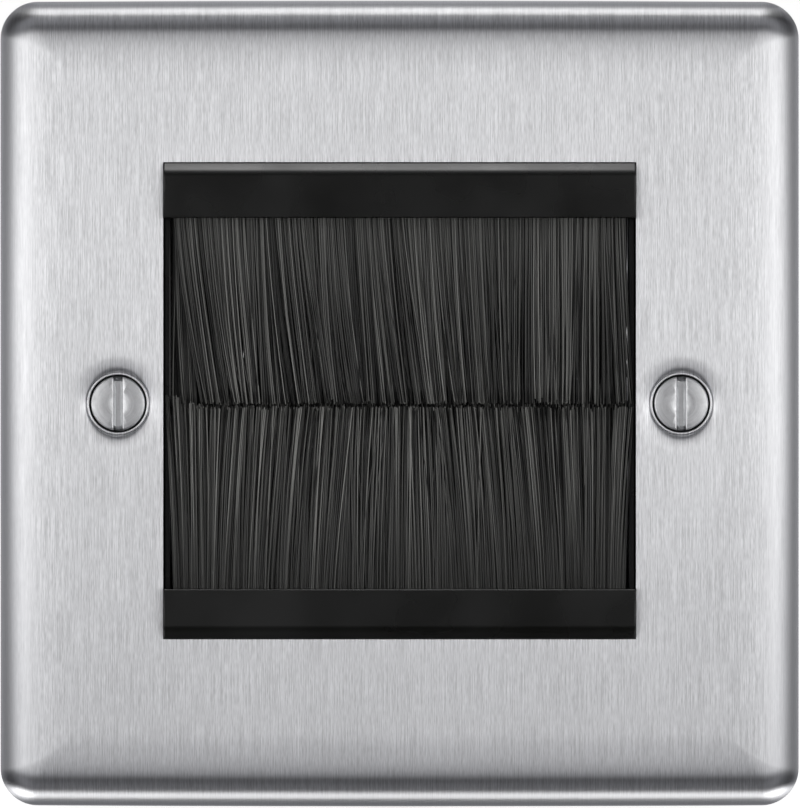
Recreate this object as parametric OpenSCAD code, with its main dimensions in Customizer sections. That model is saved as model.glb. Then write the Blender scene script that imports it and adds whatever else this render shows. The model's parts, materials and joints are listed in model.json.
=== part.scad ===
// One-gang brush wall plate: a pressed steel plate, a moulded frame behind it, and a two-brush insert.
// Each module draws in face coordinates: x to the right, y up, z out of the wall towards the viewer.
// upright() then turns it so that +Z is up, the front looks along -Y and the wall is the plane y = 0.

/* [Face plate] */
// Width of the pressed plate
plate_w = 85.8; // [84:0.2:90]
// Height of the pressed plate
plate_h = 86.6; // [84:0.2:90]
// How far the plate's face stands off the wall
plate_depth = 5; // [4.8:0.1:7]
// Thickness of the steel sheet
sheet_t = 0.9; // [0.7:0.1:1.1]
// Radius of the plate's four corners, seen from the front
corner_r = 4; // [3.9:0.1:6]
// Outer radius of the rolled edge
roll_r = 3.8; // [2.4:0.1:3.8]
// Width of the steel between the aperture and each side edge
land_x = 17.6; // [17:0.1:18.6]
// Height of the steel between the aperture and the top or bottom edge, with the aperture central
land_y = 17.8; // [17.2:0.1:18.8]
// Height of the aperture's centre above the plate's centre
aperture_rise = 0.3; // [0:0.1:0.6]

/* [Fixing screws] */
// Distance from each screw's centre to the aperture's edge
screw_land = 4.85; // [4.7:0.05:5.2]
// Thread diameter of the screws
screw_d = 3.5; // [3:0.1:4]
// Diameter of the screws' neck, which the washers keep captive
neck_d = 2.7; // [2.3:0.1:2.8]
// Length of the screws under the head
screw_l = 25; // [16:1:50]
// Diameter of the screw heads
head_d = 5.8; // [5.2:0.1:6]
// Height of the screw heads
head_h = 2; // [1.6:0.1:2.2]
// How deep the screw heads sit below the plate's face
head_sink = 0.3; // [0.1:0.1:0.5]
// Width of the driving slots
slot_w = 1; // [0.6:0.1:1.4]
// Depth of the driving slots
slot_depth = 0.9; // [0.5:0.1:1.2]
// Gap round a head in the plate's hole
head_gap = 0.2; // [0.1:0.05:0.4]
// Outer radius of the lip that the sheet turns into the hole with
lip_r = 1.2; // [1.1:0.1:1.4]
// Width of the shallow dish round the lip
dish_w = 1; // [0.6:0.1:1.6]
// Depth of the shallow dish
dish_drop = 0.12; // [0.05:0.01:0.2]

/* [Support frame] */
// Thickness of the frame's web
web_t = 1.8; // [1.4:0.1:2]
// Wall of a screw boss
boss_wall = 1.6; // [1.2:0.1:1.6]
// How far the screw bosses reach behind the wall plane
boss_reach = 1.5; // [0.5:0.5:4]
// Width of the rim that the gasket is stuck to
rim_w = 1.8; // [1.4:0.1:2.4]
// Thickness of the stiffening ribs
rib_t = 1; // [0.8:0.1:1.4]
// Height of the stiffening ribs
rib_h = 1.1; // [0.6:0.1:1.4]
// Width of each catch arm
catch_w = 8; // [6:0.5:10]
// Thickness of each catch arm
catch_t = 1.3; // [1:0.1:1.5]
// How far each catch arm hooks over the insert's shoulder
catch_bite = 0.8; // [0.5:0.1:1]

/* [Weld studs] */
// Distance from each stud's centre to the plate's edges
stud_inset = 9.4; // [9:0.1:10.4]
// Diameter of the studs
stud_d = 2.5; // [2:0.1:3]
// Diameter of the push-on clips
clip_d = 6; // [5:0.2:6.4]
// Thickness of the push-on clips
clip_t = 0.4; // [0.3:0.1:0.6]

/* [Gasket] */
// Thickness of the foam gasket, as fitted
gasket_t = 1.2; // [0.8:0.1:1.4]
// Width of the foam gasket
gasket_w = 4; // [3:0.1:4.4]

/* [Insert] */
// How far the insert's bars stand proud of the plate's face
bar_proud = 1.1; // [0.4:0.1:1.4]
// Thickness of the bars
bar_t = 2.1; // [1.6:0.1:2.2]
// Height of the bars, on average: the window is central on the plate
bar_h = 5.6; // [5.1:0.05:6.4]
// Width of the bevel along each bar's outer front edge
bar_bevel = 1; // [0.6:0.05:1.3]
// Radius between the bevel and the bar's face
bar_round = 1.2; // [0.2:0.1:1.4]
// Thickness of the insert's side walls
side_wall = 0.7; // [0.6:0.1:1.4]
// Thickness of the insert's top and bottom walls
housing_wall = 1.2; // [1:0.1:1.3]
// Width of the shoulder at the insert's sides
shoulder_x = 1; // [0.8:0.1:1.2]
// Width of the shoulder at the insert's top and bottom
shoulder_y = 1.6; // [1.3:0.1:2]
// Thickness of the shoulder
shoulder_t = 1.4; // [1:0.1:1.6]
// Thickness of the retainer that closes the insert
retainer_t = 1.8; // [1.4:0.1:2.4]
// Width of the retainer's side rails
rail_w = 1.8; // [1.4:0.1:2.6]
// How far the housing's walls reach behind the retainer
housing_lip = 0.8; // [0.4:0.1:1.6]

/* [Brushes] */
// Depth of the folded channels, front to back
channel_d = 4.4; // [4.2:0.1:5]
// Height of the folded channels
channel_h = 3.4; // [3:0.1:3.6]
// Thickness of the channels' metal
channel_t = 0.5; // [0.4:0.1:0.6]
// Diameter of the wires that the bristles are folded over
wire_d = 1.1; // [0.8:0.1:1.2]
// Thickness of the bristle pack in a channel's mouth
pack_t = 2.8; // [2.4:0.1:2.9]
// Tufts across one row
tufts = 54; // [30:1:60]
// Rows of tufts in each brush, front to back
rows = 3; // [2:1:4]
// Height of the line where the two brushes meet, from the plate's centre
meeting_z = -0.2; // [-2:0.1:2]
// How far the tuft tips vary in length
ragged = 0.3; // [0:0.05:0.6]
// How far the upper tips lean to the right
upper_lean = 2.6; // [0:0.1:3]
// How far the lower tips lean towards the middle
lower_lean = 1.4; // [0:0.1:1.6]
// How far the outermost tips of the lower front row splay outwards
lower_splay = 0.8; // [0:0.1:0.9]

/* [Earth terminal] */
// Gap between the aperture's lower edge and the terminal block
earth_gap = 1.6; // [1.5:0.1:2]
// Width of the earth tag
tag_w = 6; // [5:0.5:7]
// Thickness of the earth tag
tag_t = 0.8; // [0.6:0.1:1]
// Gap between the tag's foot and the frame's rim
foot_gap = 1; // [0.6:0.1:1.6]
// Width of the terminal block
block_w = 7; // [6:0.5:9]
// Height of the terminal block
block_h = 5.4; // [5:0.1:5.6]
// Depth of the terminal block
block_d = 7; // [6.6:0.1:9]
// How far the terminal block stands behind the wall plane
block_back = 3; // [2:0.5:6]
// Diameter of the hole for the earth wire
wire_hole_d = 3.2; // [2.6:0.1:3.4]

/* [Fits] */
// Gap between the insert and the aperture, on each side
insert_gap = 0.05; // [0.05:0.05:0.3]
// Small gap between parts that slide or snap together
slide_gap = 0.1; // [0.05:0.05:0.2]
// Gap left between seated moulded faces
seat_gap = 0.05; // [0.02:0.01:0.1]

/* [Hidden] */
$fn = 64;
cut = 1;

// Levels in front of the wall plane, from the plate's face backwards
under_z = plate_depth - sheet_t;
web_back = under_z - web_t;
bar_front = plate_depth + bar_proud;
bar_back = bar_front - bar_t;
channel_front = bar_back - seat_gap;
channel_back = channel_front - channel_d;
retainer_front = channel_back - seat_gap;
retainer_back = retainer_front - retainer_t;
housing_back = retainer_back - housing_lip;
shoulder_front = web_back - seat_gap;
shoulder_back = shoulder_front - shoulder_t;
catch_face = shoulder_back - slide_gap;

// Aperture, and the screws beside it
aperture_w = plate_w - 2 * land_x;
aperture_h = plate_h - 2 * land_y;
screw_spacing = aperture_w + 2 * screw_land;

// Screw levels and radii
head_top = plate_depth - head_sink;
seat_z = head_top - head_h;
hole_r = head_d / 2 + head_gap;
lip_z = plate_depth - dish_drop - lip_r;
lip_end = seat_z + 0.5;
dish_r = hole_r + lip_r + dish_w;
bore_r = screw_d / 2 + 2 * slide_gap;
boss_r = bore_r + boss_wall;
head_edge = 0.25;
tip_edge = 0.5;
washer_t = 0.8;
washer_r = boss_r - 0.2;
washer_back = -boss_reach - seat_gap - washer_t;
neck_end = washer_back - 0.6;

// Outline of the insert, of the frame's pocket and of the frame
insert_w = aperture_w - 2 * insert_gap;
insert_h = aperture_h - 2 * insert_gap;
insert_top = aperture_rise + insert_h / 2;
insert_bottom = aperture_rise - insert_h / 2;
pocket_w = insert_w + 2 * (shoulder_x + slide_gap);
pocket_h = insert_h + 2 * (shoulder_y + slide_gap);
frame_w = plate_w - 2 * (roll_r + slide_gap);
frame_h = plate_h - 2 * (roll_r + slide_gap);
frame_corner = 1.2;
rib_x = insert_w / 7;
rib_y = insert_h / 5.3;
catch_x = 2 * rib_x;
stud_x = plate_w / 2 - stud_inset;
stud_y = plate_h / 2 - stud_inset;
window_w = insert_w - 2 * side_wall;
window_h = insert_h - 2 * bar_h;
gasket_out_w = plate_w - 2 * (sheet_t + 3 * slide_gap);
gasket_out_h = plate_h - 2 * (sheet_t + 3 * slide_gap);
gasket_corner = corner_r - sheet_t;

// Channels, each seated on its wall of the housing
upper_seat = insert_top - housing_wall;
lower_seat = insert_bottom + housing_wall;
upper_mouth = upper_seat - seat_gap - channel_h;
lower_mouth = lower_seat + seat_gap + channel_h;
channel_w = window_w - 4 * slide_gap;
channel_mid = channel_front - channel_d / 2;
bead_r = (channel_d - 2 * channel_t - pack_t) / 4;

// Tufts
brush_w = channel_w - 2 * slide_gap;
pitch = brush_w / tufts;
row_gap = 0.15;
row_t = (pack_t - (rows - 1) * row_gap) / rows;
pack_front = channel_mid + pack_t / 2;
root_fill = 0.94;
waist_fill = 0.8;
tip_fill = 0.5;
waist_at = 0.4;
side_front = pack_front - row_t - seat_gap;
shared_gap = 0.2;

// Earth terminal
arm_top = aperture_rise - aperture_h / 2 - earth_gap - block_h;
earth_drop = tag_t - arm_top;
tag_foot = frame_h / 2 - rim_w - foot_gap - earth_drop;
block_y = arm_top + block_h / 2;
wire_z = -block_back - 2.2;
earth_screw_z = -block_back - block_d;
earth_lift = 0.8;
earth_head_h = 1.8;

// Turns face coordinates into the part's own frame
module upright() {
    rotate([90, 0, 0]) children();
}

// Places its children at each of the four studs
module at_studs() {
    for (sx = [-1, 1], sy = [-1, 1])
        translate([sx * stud_x, sy * stud_y, 0]) children();
}

// Rectangle about the origin with true round corners
module rounded(w, h, r) {
    square([w - 2 * r, h], center = true);
    square([w, h - 2 * r], center = true);
    for (sx = [-1, 1], sy = [-1, 1])
        translate([sx * (w / 2 - r), sy * (h / 2 - r)]) circle(r);
}

// Flat ring between two rounded rectangles
module ring(w, h, wall, r, t) {
    linear_extrude(t) difference() {
        rounded(w, h, r);
        square([w - 2 * wall, h - 2 * wall], center = true);
    }
}

// Edge of the pressed plate: a block whose outer top corner is rolled over
module edge_profile(reach, depth, roll) {
    square([reach - roll, depth]);
    translate([reach - roll - cut / 10, 0]) square([roll + cut / 10, depth - roll]);
    translate([reach - roll, depth - roll]) intersection() {
        circle(roll);
        square(roll);
    }
}

// Slab with rounded corners and a rolled front edge, its back on z = 0
module rolled_slab(w, h, depth, corner, roll) {
    for (s = [0, 180]) {
        rotate([90, 0, 90 + s]) translate([0, 0, corner - w / 2])
            linear_extrude(w - 2 * corner) edge_profile(h / 2, depth, roll);
        rotate([90, 0, s]) translate([0, 0, corner - h / 2])
            linear_extrude(h - 2 * corner) edge_profile(w / 2, depth, roll);
    }
    for (q = [0:3])
        translate([(q == 0 || q == 3 ? 1 : -1) * (w / 2 - corner), (q < 2 ? 1 : -1) * (h / 2 - corner), 0])
            rotate(90 * q) rotate_extrude(angle = 90) edge_profile(corner, depth, roll);
}

// What the sheet turns round at a screw hole: the metal of the lip and its dish
module lip_profile() {
    turn_r = hole_r + lip_r;
    inner_r = lip_r - sheet_t;
    difference() {
        translate([hole_r, lip_end]) square([lip_r + dish_w, plate_depth - lip_end]);
        polygon([
            [turn_r, plate_depth - dish_drop], [turn_r + dish_w, plate_depth],
            [turn_r + dish_w, plate_depth + cut], [hole_r - cut, plate_depth + cut],
            [hole_r - cut, plate_depth - dish_drop]
        ]);
        difference() {
            translate([hole_r - cut, lip_z]) square([lip_r + cut, lip_r + cut]);
            translate([turn_r, lip_z]) circle(lip_r);
        }
        translate([turn_r - inner_r, lip_end - cut]) square([dish_w + inner_r + cut, lip_z - lip_end + cut]);
        intersection() {
            translate([turn_r, lip_z]) circle(inner_r);
            translate([hole_r, lip_z]) square(lip_r);
        }
        polygon([
            [turn_r, lip_z - cut], [turn_r, lip_z + inner_r],
            [turn_r + dish_w, under_z], [turn_r + dish_w + cut, under_z],
            [turn_r + dish_w + cut, lip_z - cut]
        ]);
    }
}

// Pressed steel plate: rolled edge, square aperture and two dished screw holes
module face_plate() {
    color("silver") upright() difference() {
        union() {
            difference() {
                rolled_slab(plate_w, plate_h, plate_depth, corner_r, roll_r);
                translate([0, 0, -cut])
                    rolled_slab(plate_w - 2 * sheet_t, plate_h - 2 * sheet_t, under_z + cut,
                        corner_r - sheet_t, roll_r - sheet_t);
                for (side = [-1, 1])
                    translate([side * screw_spacing / 2, 0, under_z - cut])
                        cylinder(r = dish_r, h = sheet_t + 2 * cut);
            }
            for (side = [-1, 1])
                translate([side * screw_spacing / 2, 0, 0]) rotate_extrude() lip_profile();
        }
        translate([-aperture_w / 2, aperture_rise - aperture_h / 2, lip_end - cut])
            cube([aperture_w, aperture_h, plate_depth]);
    }
}

// Studs welded to the back of the plate, each on a low weld flange
module weld_studs() {
    flange_t = 0.4;
    flange_r = stud_d / 2 + 0.5;
    stud_end = web_back - clip_t - 0.6;
    color("gainsboro") upright() at_studs() {
        translate([0, 0, stud_end]) cylinder(d = stud_d, h = under_z - stud_end);
        translate([0, 0, under_z - flange_t]) cylinder(r = flange_r, h = flange_t);
    }
}

// Push-on spring clips that grip the studs behind the frame's web
module stud_clips() {
    slit_w = 0.5;
    color("dimgray") upright() at_studs() translate([0, 0, web_back - seat_gap - clip_t])
        difference() {
            cylinder(d = clip_d, h = clip_t);
            translate([0, 0, -cut]) cylinder(r = stud_d / 2 + seat_gap, h = clip_t + 2 * cut);
            for (turn = [0:60:120])
                rotate(turn) cube([stud_d + 1.6, slit_w, 2 * clip_t + cut], center = true);
        }
}

// Side view of one catch arm, its root on the web and its hook over the shoulder
module catch_profile(root_y) {
    hook_l = 1.5;
    nose = 0.3;
    polygon([
        [root_y, web_back + web_t / 2], [root_y + catch_t, web_back + web_t / 2],
        [root_y + catch_t, catch_face - hook_l], [root_y, catch_face - hook_l],
        [root_y - catch_bite, catch_face - nose], [root_y - catch_bite, catch_face], [root_y, catch_face]
    ]);
}

// The four arms that the insert snaps behind
module catch_arms() {
    for (x = [-catch_x, catch_x], s = [-1, 1])
        translate([x, aperture_rise, 0]) mirror([0, s < 0 ? 1 : 0, 0])
            rotate([90, 0, 90]) translate([0, 0, -catch_w / 2]) linear_extrude(catch_w)
                catch_profile(pocket_h / 2);
}

// Straight stiffening ribs from the pocket's wall out to the rim
module frame_ribs(pocket_wall) {
    bottom = web_back - rib_h;
    tall = rib_h + web_t / 2;
    for (x = rib_x * [-3, -1, 1, 3], s = [-1, 1]) {
        inner = pocket_h / 2 + s * aperture_rise + pocket_wall / 2;
        translate([x - rib_t / 2, s > 0 ? inner : -frame_h / 2 + rim_w / 2, bottom])
            cube([rib_t, frame_h / 2 - rim_w / 2 - inner, tall]);
    }
    for (y = rib_y * [-2, -1, 1, 2], s = [-1, 1]) {
        inner = pocket_w / 2 + pocket_wall / 2;
        translate([s > 0 ? inner : -frame_w / 2 + rim_w / 2, y - rib_t / 2, bottom])
            cube([frame_w / 2 - rim_w / 2 - inner, rib_t, tall]);
    }
}

// Moulded frame behind the plate: it carries the insert and the screw bosses
module support_frame() {
    pocket_wall = 1.2;
    rim_front = web_back + web_t / 2;
    lip_clear = hole_r + sheet_t + 2 * slide_gap;
    color("#2b2b2d") upright() difference() {
        union() {
            translate([0, 0, web_back]) linear_extrude(web_t) rounded(frame_w, frame_h, frame_corner);
            translate([0, 0, gasket_t]) ring(frame_w, frame_h, rim_w, frame_corner, rim_front - gasket_t);
            translate([0, aperture_rise, web_back - rib_h])
                ring(pocket_w + 2 * pocket_wall, pocket_h + 2 * pocket_wall, pocket_wall, 0.8,
                    rib_h + web_t / 2);
            catch_arms();
            frame_ribs(pocket_wall);
            for (side = [-1, 1])
                translate([side * screw_spacing / 2, 0, -boss_reach]) {
                    cylinder(r = boss_r, h = boss_reach + rim_front);
                    translate([0, 0, boss_reach + web_back - rib_h])
                        cylinder(r = lip_clear + rib_t, h = rib_h + web_t / 2);
                }
        }
        translate([-aperture_w / 2, aperture_rise - aperture_h / 2, web_back - cut])
            cube([aperture_w, aperture_h, web_t + 2 * cut]);
        translate([-pocket_w / 2, aperture_rise - insert_h / 2 + shoulder_y, web_back - rib_h - cut])
            cube([pocket_w, insert_h - 2 * shoulder_y, rib_h + cut]);
        for (side = [-1, 1])
            translate([side * screw_spacing / 2, 0, 0]) {
                translate([0, 0, -boss_reach - cut])
                    cylinder(r = bore_r, h = boss_reach + under_z + 2 * cut);
                translate([0, 0, seat_z]) cylinder(r = hole_r, h = under_z);
                translate([0, 0, lip_end - slide_gap]) cylinder(r = lip_clear, h = under_z);
                translate([0, 0, under_z - dish_drop - slide_gap])
                    cylinder(r = dish_r + slide_gap, h = web_t);
            }
        at_studs() {
            translate([0, 0, web_back - cut]) cylinder(r = stud_d / 2 + slide_gap, h = web_t + 2 * cut);
            translate([0, 0, under_z - 0.5]) cylinder(r = stud_d / 2 + 0.5 + slide_gap, h = web_t);
        }
        translate([-tag_w / 2 - slide_gap, -earth_drop - tag_foot, web_back - cut])
            cube([tag_w + 2 * slide_gap, tag_foot + tag_t + slide_gap, web_t + 2 * cut]);
        for (x = [-catch_x, catch_x], e = [-1, 1], s = [-1, 1])
            translate([x + e * (catch_w / 2 + 0.4), aperture_rise + s * (pocket_h / 2 + pocket_wall / 2),
                web_back - rib_h / 2 - cut / 2])
                cube([0.8, pocket_wall + 2 * seat_gap, rib_h + cut], center = true);
    }
}

// Foam gasket between the frame's rim and the wall
module wall_gasket() {
    color("#1c1c1e") upright() ring(gasket_out_w, gasket_out_h, gasket_w, gasket_corner, gasket_t);
}

// Front bar of the insert, bevelled along its outer front edge; side is 1 at the top, -1 at the bottom
module front_bar(side) {
    outer = side > 0 ? insert_top : -insert_bottom;
    inner = outer - bar_bevel;
    ease = bar_round * tan(22.5);
    out = 0.2;
    rotate([0, 0, side > 0 ? 0 : 180]) rotate([90, 0, 90]) translate([0, 0, -insert_w / 2])
        linear_extrude(insert_w) difference() {
            union() {
                translate([window_h / 2, bar_back]) square([outer - window_h / 2, bar_t]);
                translate([outer - housing_wall, housing_back])
                    square([housing_wall, bar_back - housing_back + bar_t / 2]);
            }
            polygon([
                [inner, bar_front], [inner, bar_front + cut], [outer + cut, bar_front + cut],
                [outer + cut, bar_front - bar_bevel], [outer, bar_front - bar_bevel]
            ]);
            difference() {
                polygon([
                    [inner - ease, bar_front - bar_round], [inner - ease, bar_front + out],
                    [inner + out, bar_front + out],
                    [inner + sqrt(0.5) * (ease + out), bar_front + sqrt(0.5) * (out - ease)]
                ]);
                translate([inner - ease, bar_front - bar_round]) circle(bar_round);
            }
        }
}

// Windows that the retainer's tabs snap into
module tab_boxes(w, t, out) {
    for (x = [-catch_x, catch_x], s = [-1, 1])
        translate([x, s > 0 ? upper_seat : lower_seat, (retainer_front + retainer_back) / 2])
            cube([w, 2 * out, t], center = true);
}

// Black moulded housing of the insert
module brush_housing() {
    color("#161617") upright() difference() {
        union() {
            front_bar(1);
            front_bar(-1);
            translate([0, aperture_rise, housing_back]) linear_extrude(side_front - housing_back)
                difference() {
                    square([insert_w, insert_h], center = true);
                    square([window_w, insert_h - 2 * housing_wall], center = true);
                }
            translate([0, aperture_rise, shoulder_back]) linear_extrude(shoulder_t) difference() {
                rounded(insert_w + 2 * shoulder_x, insert_h + 2 * shoulder_y, 0.8);
                square([insert_w - 0.6, insert_h - housing_wall], center = true);
            }
        }
        tab_boxes(5, 1, housing_wall / 2 + cut);
    }
}

// Rear frame that snaps into the housing and holds both channels
module brush_retainer() {
    top = upper_seat - slide_gap;
    bottom = lower_seat + slide_gap;
    wide = window_w - 2 * slide_gap;
    color("#222224") upright() {
        translate([0, 0, retainer_back]) linear_extrude(retainer_t) difference() {
            translate([-wide / 2, bottom]) square([wide, top - bottom]);
            square([wide - 2 * rail_w, window_h], center = true);
        }
        tab_boxes(5 - 2 * slide_gap, 1 - 2 * slide_gap, housing_wall / 2);
    }
}

// Folded metal channel with crimped lips; side is 1 for the upper brush and -1 for the lower
module channel(side) {
    mouth = side > 0 ? upper_mouth : -lower_mouth;
    color("darkgray") upright() rotate([0, 0, side > 0 ? 0 : 180]) rotate([90, 0, 90])
        translate([0, 0, -channel_w / 2]) linear_extrude(channel_w) {
            difference() {
                translate([mouth, channel_back]) square([channel_h, channel_d]);
                translate([mouth - cut, channel_back + channel_t])
                    square([channel_h - channel_t + cut, channel_d - 2 * channel_t]);
            }
            for (z = [channel_back + channel_t, channel_front - channel_t])
                translate([mouth + bead_r, z]) circle(bead_r);
        }
}

// Wire that the bristles are folded over
module core_wire(side) {
    color("lightgray") upright() translate([-channel_w / 2, wire_y(side), channel_mid])
        rotate([0, 90, 0]) cylinder(d = wire_d, h = channel_w);
}

// Height of a brush's core wire
function wire_y(side) = side > 0
    ? upper_seat - seat_gap - channel_t - pack_t / 2 - seat_gap
    : lower_seat + seat_gap + channel_t + pack_t / 2 + seat_gap;

// How far a tuft tip stands to the side of its root, for a root at u from -1 to 1
// (the rear rows hang straighter)
function upper_travel(u, row) = upper_lean * cos(90 * (u + 0.3) / 1.3) * (1 - 0.9 * row / rows);
function lower_travel(u, row) = -lower_lean * sin(180 * u) * (1 - 0.9 * row / rows)
    + (row == 0 ? lower_splay * pow(u, 5) : 0);

// Even scatter from -1 to 1 that is the same every time
function scatter(i, row) = sin(197.3 * i + 71.9 * row + 40 * sin(83 * i));

// Outline of one row of tufts: roots at root_y, a waist, and ragged tips near tip_y
function tuft_points(side, root_y, tip_y, row) = [
    for (i = [0:tufts - 1 - row % 2])
        let (
            root_x = -brush_w / 2 + pitch * (i + 0.5 + (row % 2) / 2),
            u = 2 * root_x / brush_w,
            travel = side > 0 ? upper_travel(u, row) : lower_travel(u, row),
            long_y = tip_y + side * ragged * (1 + scatter(i, row)) / 2,
            waist_y = root_y + waist_at * (long_y - root_y),
            tip_x = root_x + travel + 0.12 * pitch * scatter(i + 7, row),
            waist_x = root_x + waist_at * waist_at * travel
        )
        each [
            [root_x - root_fill * pitch / 2, root_y], [waist_x - waist_fill * pitch / 2, waist_y],
            [tip_x - tip_fill * pitch / 2, long_y],
            [tip_x + tip_fill * pitch / 2, long_y + side * 0.1],
            [waist_x + waist_fill * pitch / 2, waist_y], [root_x + root_fill * pitch / 2, root_y]
        ]
];

// Bristle pack: a fold over the wire, filaments packed in the channel, and rows of loose tufts
module bristles(side) {
    mouth = side > 0 ? upper_mouth : lower_mouth;
    tip = meeting_z + side * shared_gap / 2;
    fold_y = wire_y(side);
    root = mouth + side * 0.4;
    color(side > 0 ? "#3a3b3d" : "#48494b") upright() {
        rotate([90, 0, 90]) translate([0, 0, -brush_w / 2]) linear_extrude(brush_w) difference() {
            union() {
                translate([fold_y, channel_mid]) circle(pack_t / 2);
                translate([min(fold_y, mouth), channel_mid - pack_t / 2])
                    square([abs(fold_y - mouth), pack_t]);
            }
            translate([fold_y, channel_mid]) circle(wire_d / 2 + seat_gap);
        }
        for (row = [0:rows - 1])
            translate([0, 0, pack_front - row_t - row * (row_t + row_gap)]) linear_extrude(row_t)
                polygon(concat(
                    [[-brush_w / 2, root]], tuft_points(side, mouth, tip, row), [[brush_w / 2, root]]
                ));
    }
}

// Captive slotted screw: cheese head, neck in the washer, and a thread with its tip turned down
module fixing_screw(side) {
    tip_z = seat_z - screw_l;
    color("lightsteelblue") upright() translate([side * screw_spacing / 2, 0, 0]) {
        difference() {
            rotate_extrude() {
                translate([0, seat_z]) square([head_d / 2 - head_edge, head_h]);
                translate([0, seat_z]) square([head_d / 2, head_h - head_edge]);
                translate([head_d / 2 - head_edge, head_top - head_edge]) circle(head_edge);
            }
            translate([-slot_w / 2, -head_d, head_top - slot_depth]) cube([slot_w, 2 * head_d, head_h]);
        }
        translate([0, 0, neck_end]) cylinder(d = neck_d, h = seat_z - neck_end);
        translate([0, 0, tip_z + tip_edge]) cylinder(d = screw_d, h = neck_end - tip_z - tip_edge);
        translate([0, 0, tip_z]) cylinder(d1 = screw_d - 2 * tip_edge, d2 = screw_d, h = tip_edge);
    }
}

// Nylon washer that keeps a screw in its boss before the plate is fixed
module screw_washer(side) {
    color("ivory") upright() translate([side * screw_spacing / 2, 0, washer_back])
        difference() {
            cylinder(r = washer_r, h = washer_t);
            translate([0, 0, -cut]) cylinder(r = neck_d / 2 + seat_gap, h = washer_t + 2 * cut);
        }
}

// Bent tag: a foot welded to the plate and an arm that carries the earth terminal
module earth_tag() {
    arm_end = earth_screw_z;
    color("goldenrod") upright() {
        translate([-tag_w / 2, -earth_drop - tag_foot + slide_gap, under_z - tag_t])
            cube([tag_w, tag_foot + tag_t - slide_gap, tag_t]);
        translate([-tag_w / 2, -earth_drop, arm_end]) cube([tag_w, tag_t, under_z - arm_end]);
    }
}

// Brass terminal block with its wire hole and the tapped hole for its screw
module earth_terminal() {
    color("gold") upright() difference() {
        translate([-block_w / 2, arm_top, earth_screw_z]) cube([block_w, block_h, block_d]);
        translate([-block_w, block_y, wire_z]) rotate([0, 90, 0])
            cylinder(d = wire_hole_d, h = 2 * block_w);
        translate([0, block_y, earth_screw_z - cut])
            cylinder(r = screw_d / 2 + seat_gap, h = wire_z - earth_screw_z + cut);
    }
}

// Slotted terminal screw, backed off so that the wire hole is clear
module earth_screw() {
    head_r = block_h / 2 - slide_gap;
    tip_z = wire_z - wire_hole_d / 2 - 0.2;
    head_z = earth_screw_z - earth_lift;
    color("khaki") upright() translate([0, block_y, 0]) {
        translate([0, 0, head_z]) cylinder(d = screw_d, h = tip_z - head_z);
        difference() {
            translate([0, 0, head_z - earth_head_h]) cylinder(r = head_r, h = earth_head_h);
            translate([0, 0, head_z - earth_head_h])
                cube([slot_w, 3 * head_r, 2 * slot_depth], center = true);
        }
    }
}

face_plate();
weld_studs();
stud_clips();
support_frame();
wall_gasket();
brush_housing();
brush_retainer();
channel(1);  // upper_channel
channel(-1);  // lower_channel
core_wire(1);  // upper_core_wire
core_wire(-1);  // lower_core_wire
bristles(1);  // upper_bristles
bristles(-1);  // lower_bristles
fixing_screw(-1);  // left_fixing_screw
fixing_screw(1);  // right_fixing_screw
screw_washer(-1);  // left_screw_washer
screw_washer(1);  // right_screw_washer
earth_tag();
earth_terminal();
earth_screw();
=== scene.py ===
"""Brush wall plate: a pressed steel plate, slotted screws, and a two-brush insert in a moulded frame.

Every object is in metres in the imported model's frame: +Z is up, the face looks along -Y and the wall is the
plane y = 0. Shapes are worked out with numpy as arrays of points and put into meshes whole.
"""

import json
import logging
import math
from dataclasses import dataclass, field
from enum import Enum
from typing import ClassVar

import bmesh
import bpy
import numpy as np
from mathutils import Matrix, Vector
from mathutils.geometry import tessellate_polygon

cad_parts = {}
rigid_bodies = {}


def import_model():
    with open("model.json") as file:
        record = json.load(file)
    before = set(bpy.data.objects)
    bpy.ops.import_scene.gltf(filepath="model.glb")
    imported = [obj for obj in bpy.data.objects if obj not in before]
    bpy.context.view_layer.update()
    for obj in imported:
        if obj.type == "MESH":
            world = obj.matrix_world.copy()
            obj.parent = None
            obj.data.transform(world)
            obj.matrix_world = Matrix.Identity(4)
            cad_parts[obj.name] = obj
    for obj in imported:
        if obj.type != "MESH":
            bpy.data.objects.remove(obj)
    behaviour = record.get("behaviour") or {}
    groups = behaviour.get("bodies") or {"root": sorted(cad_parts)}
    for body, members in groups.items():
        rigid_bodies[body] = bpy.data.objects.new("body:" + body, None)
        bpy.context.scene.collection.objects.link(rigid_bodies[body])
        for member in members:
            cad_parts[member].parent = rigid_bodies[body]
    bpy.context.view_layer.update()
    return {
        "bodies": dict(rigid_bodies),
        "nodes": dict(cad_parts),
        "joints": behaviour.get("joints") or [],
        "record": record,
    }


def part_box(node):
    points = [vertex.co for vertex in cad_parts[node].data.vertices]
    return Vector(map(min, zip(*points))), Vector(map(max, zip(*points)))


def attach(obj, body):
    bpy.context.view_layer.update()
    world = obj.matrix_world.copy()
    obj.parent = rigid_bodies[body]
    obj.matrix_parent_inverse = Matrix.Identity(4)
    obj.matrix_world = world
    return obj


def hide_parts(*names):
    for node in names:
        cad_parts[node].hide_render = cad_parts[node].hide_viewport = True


LOG = logging.getLogger("brush_wall_plate")
MM = 0.001
IMAGE_W, IMAGE_H = 800, 808


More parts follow.
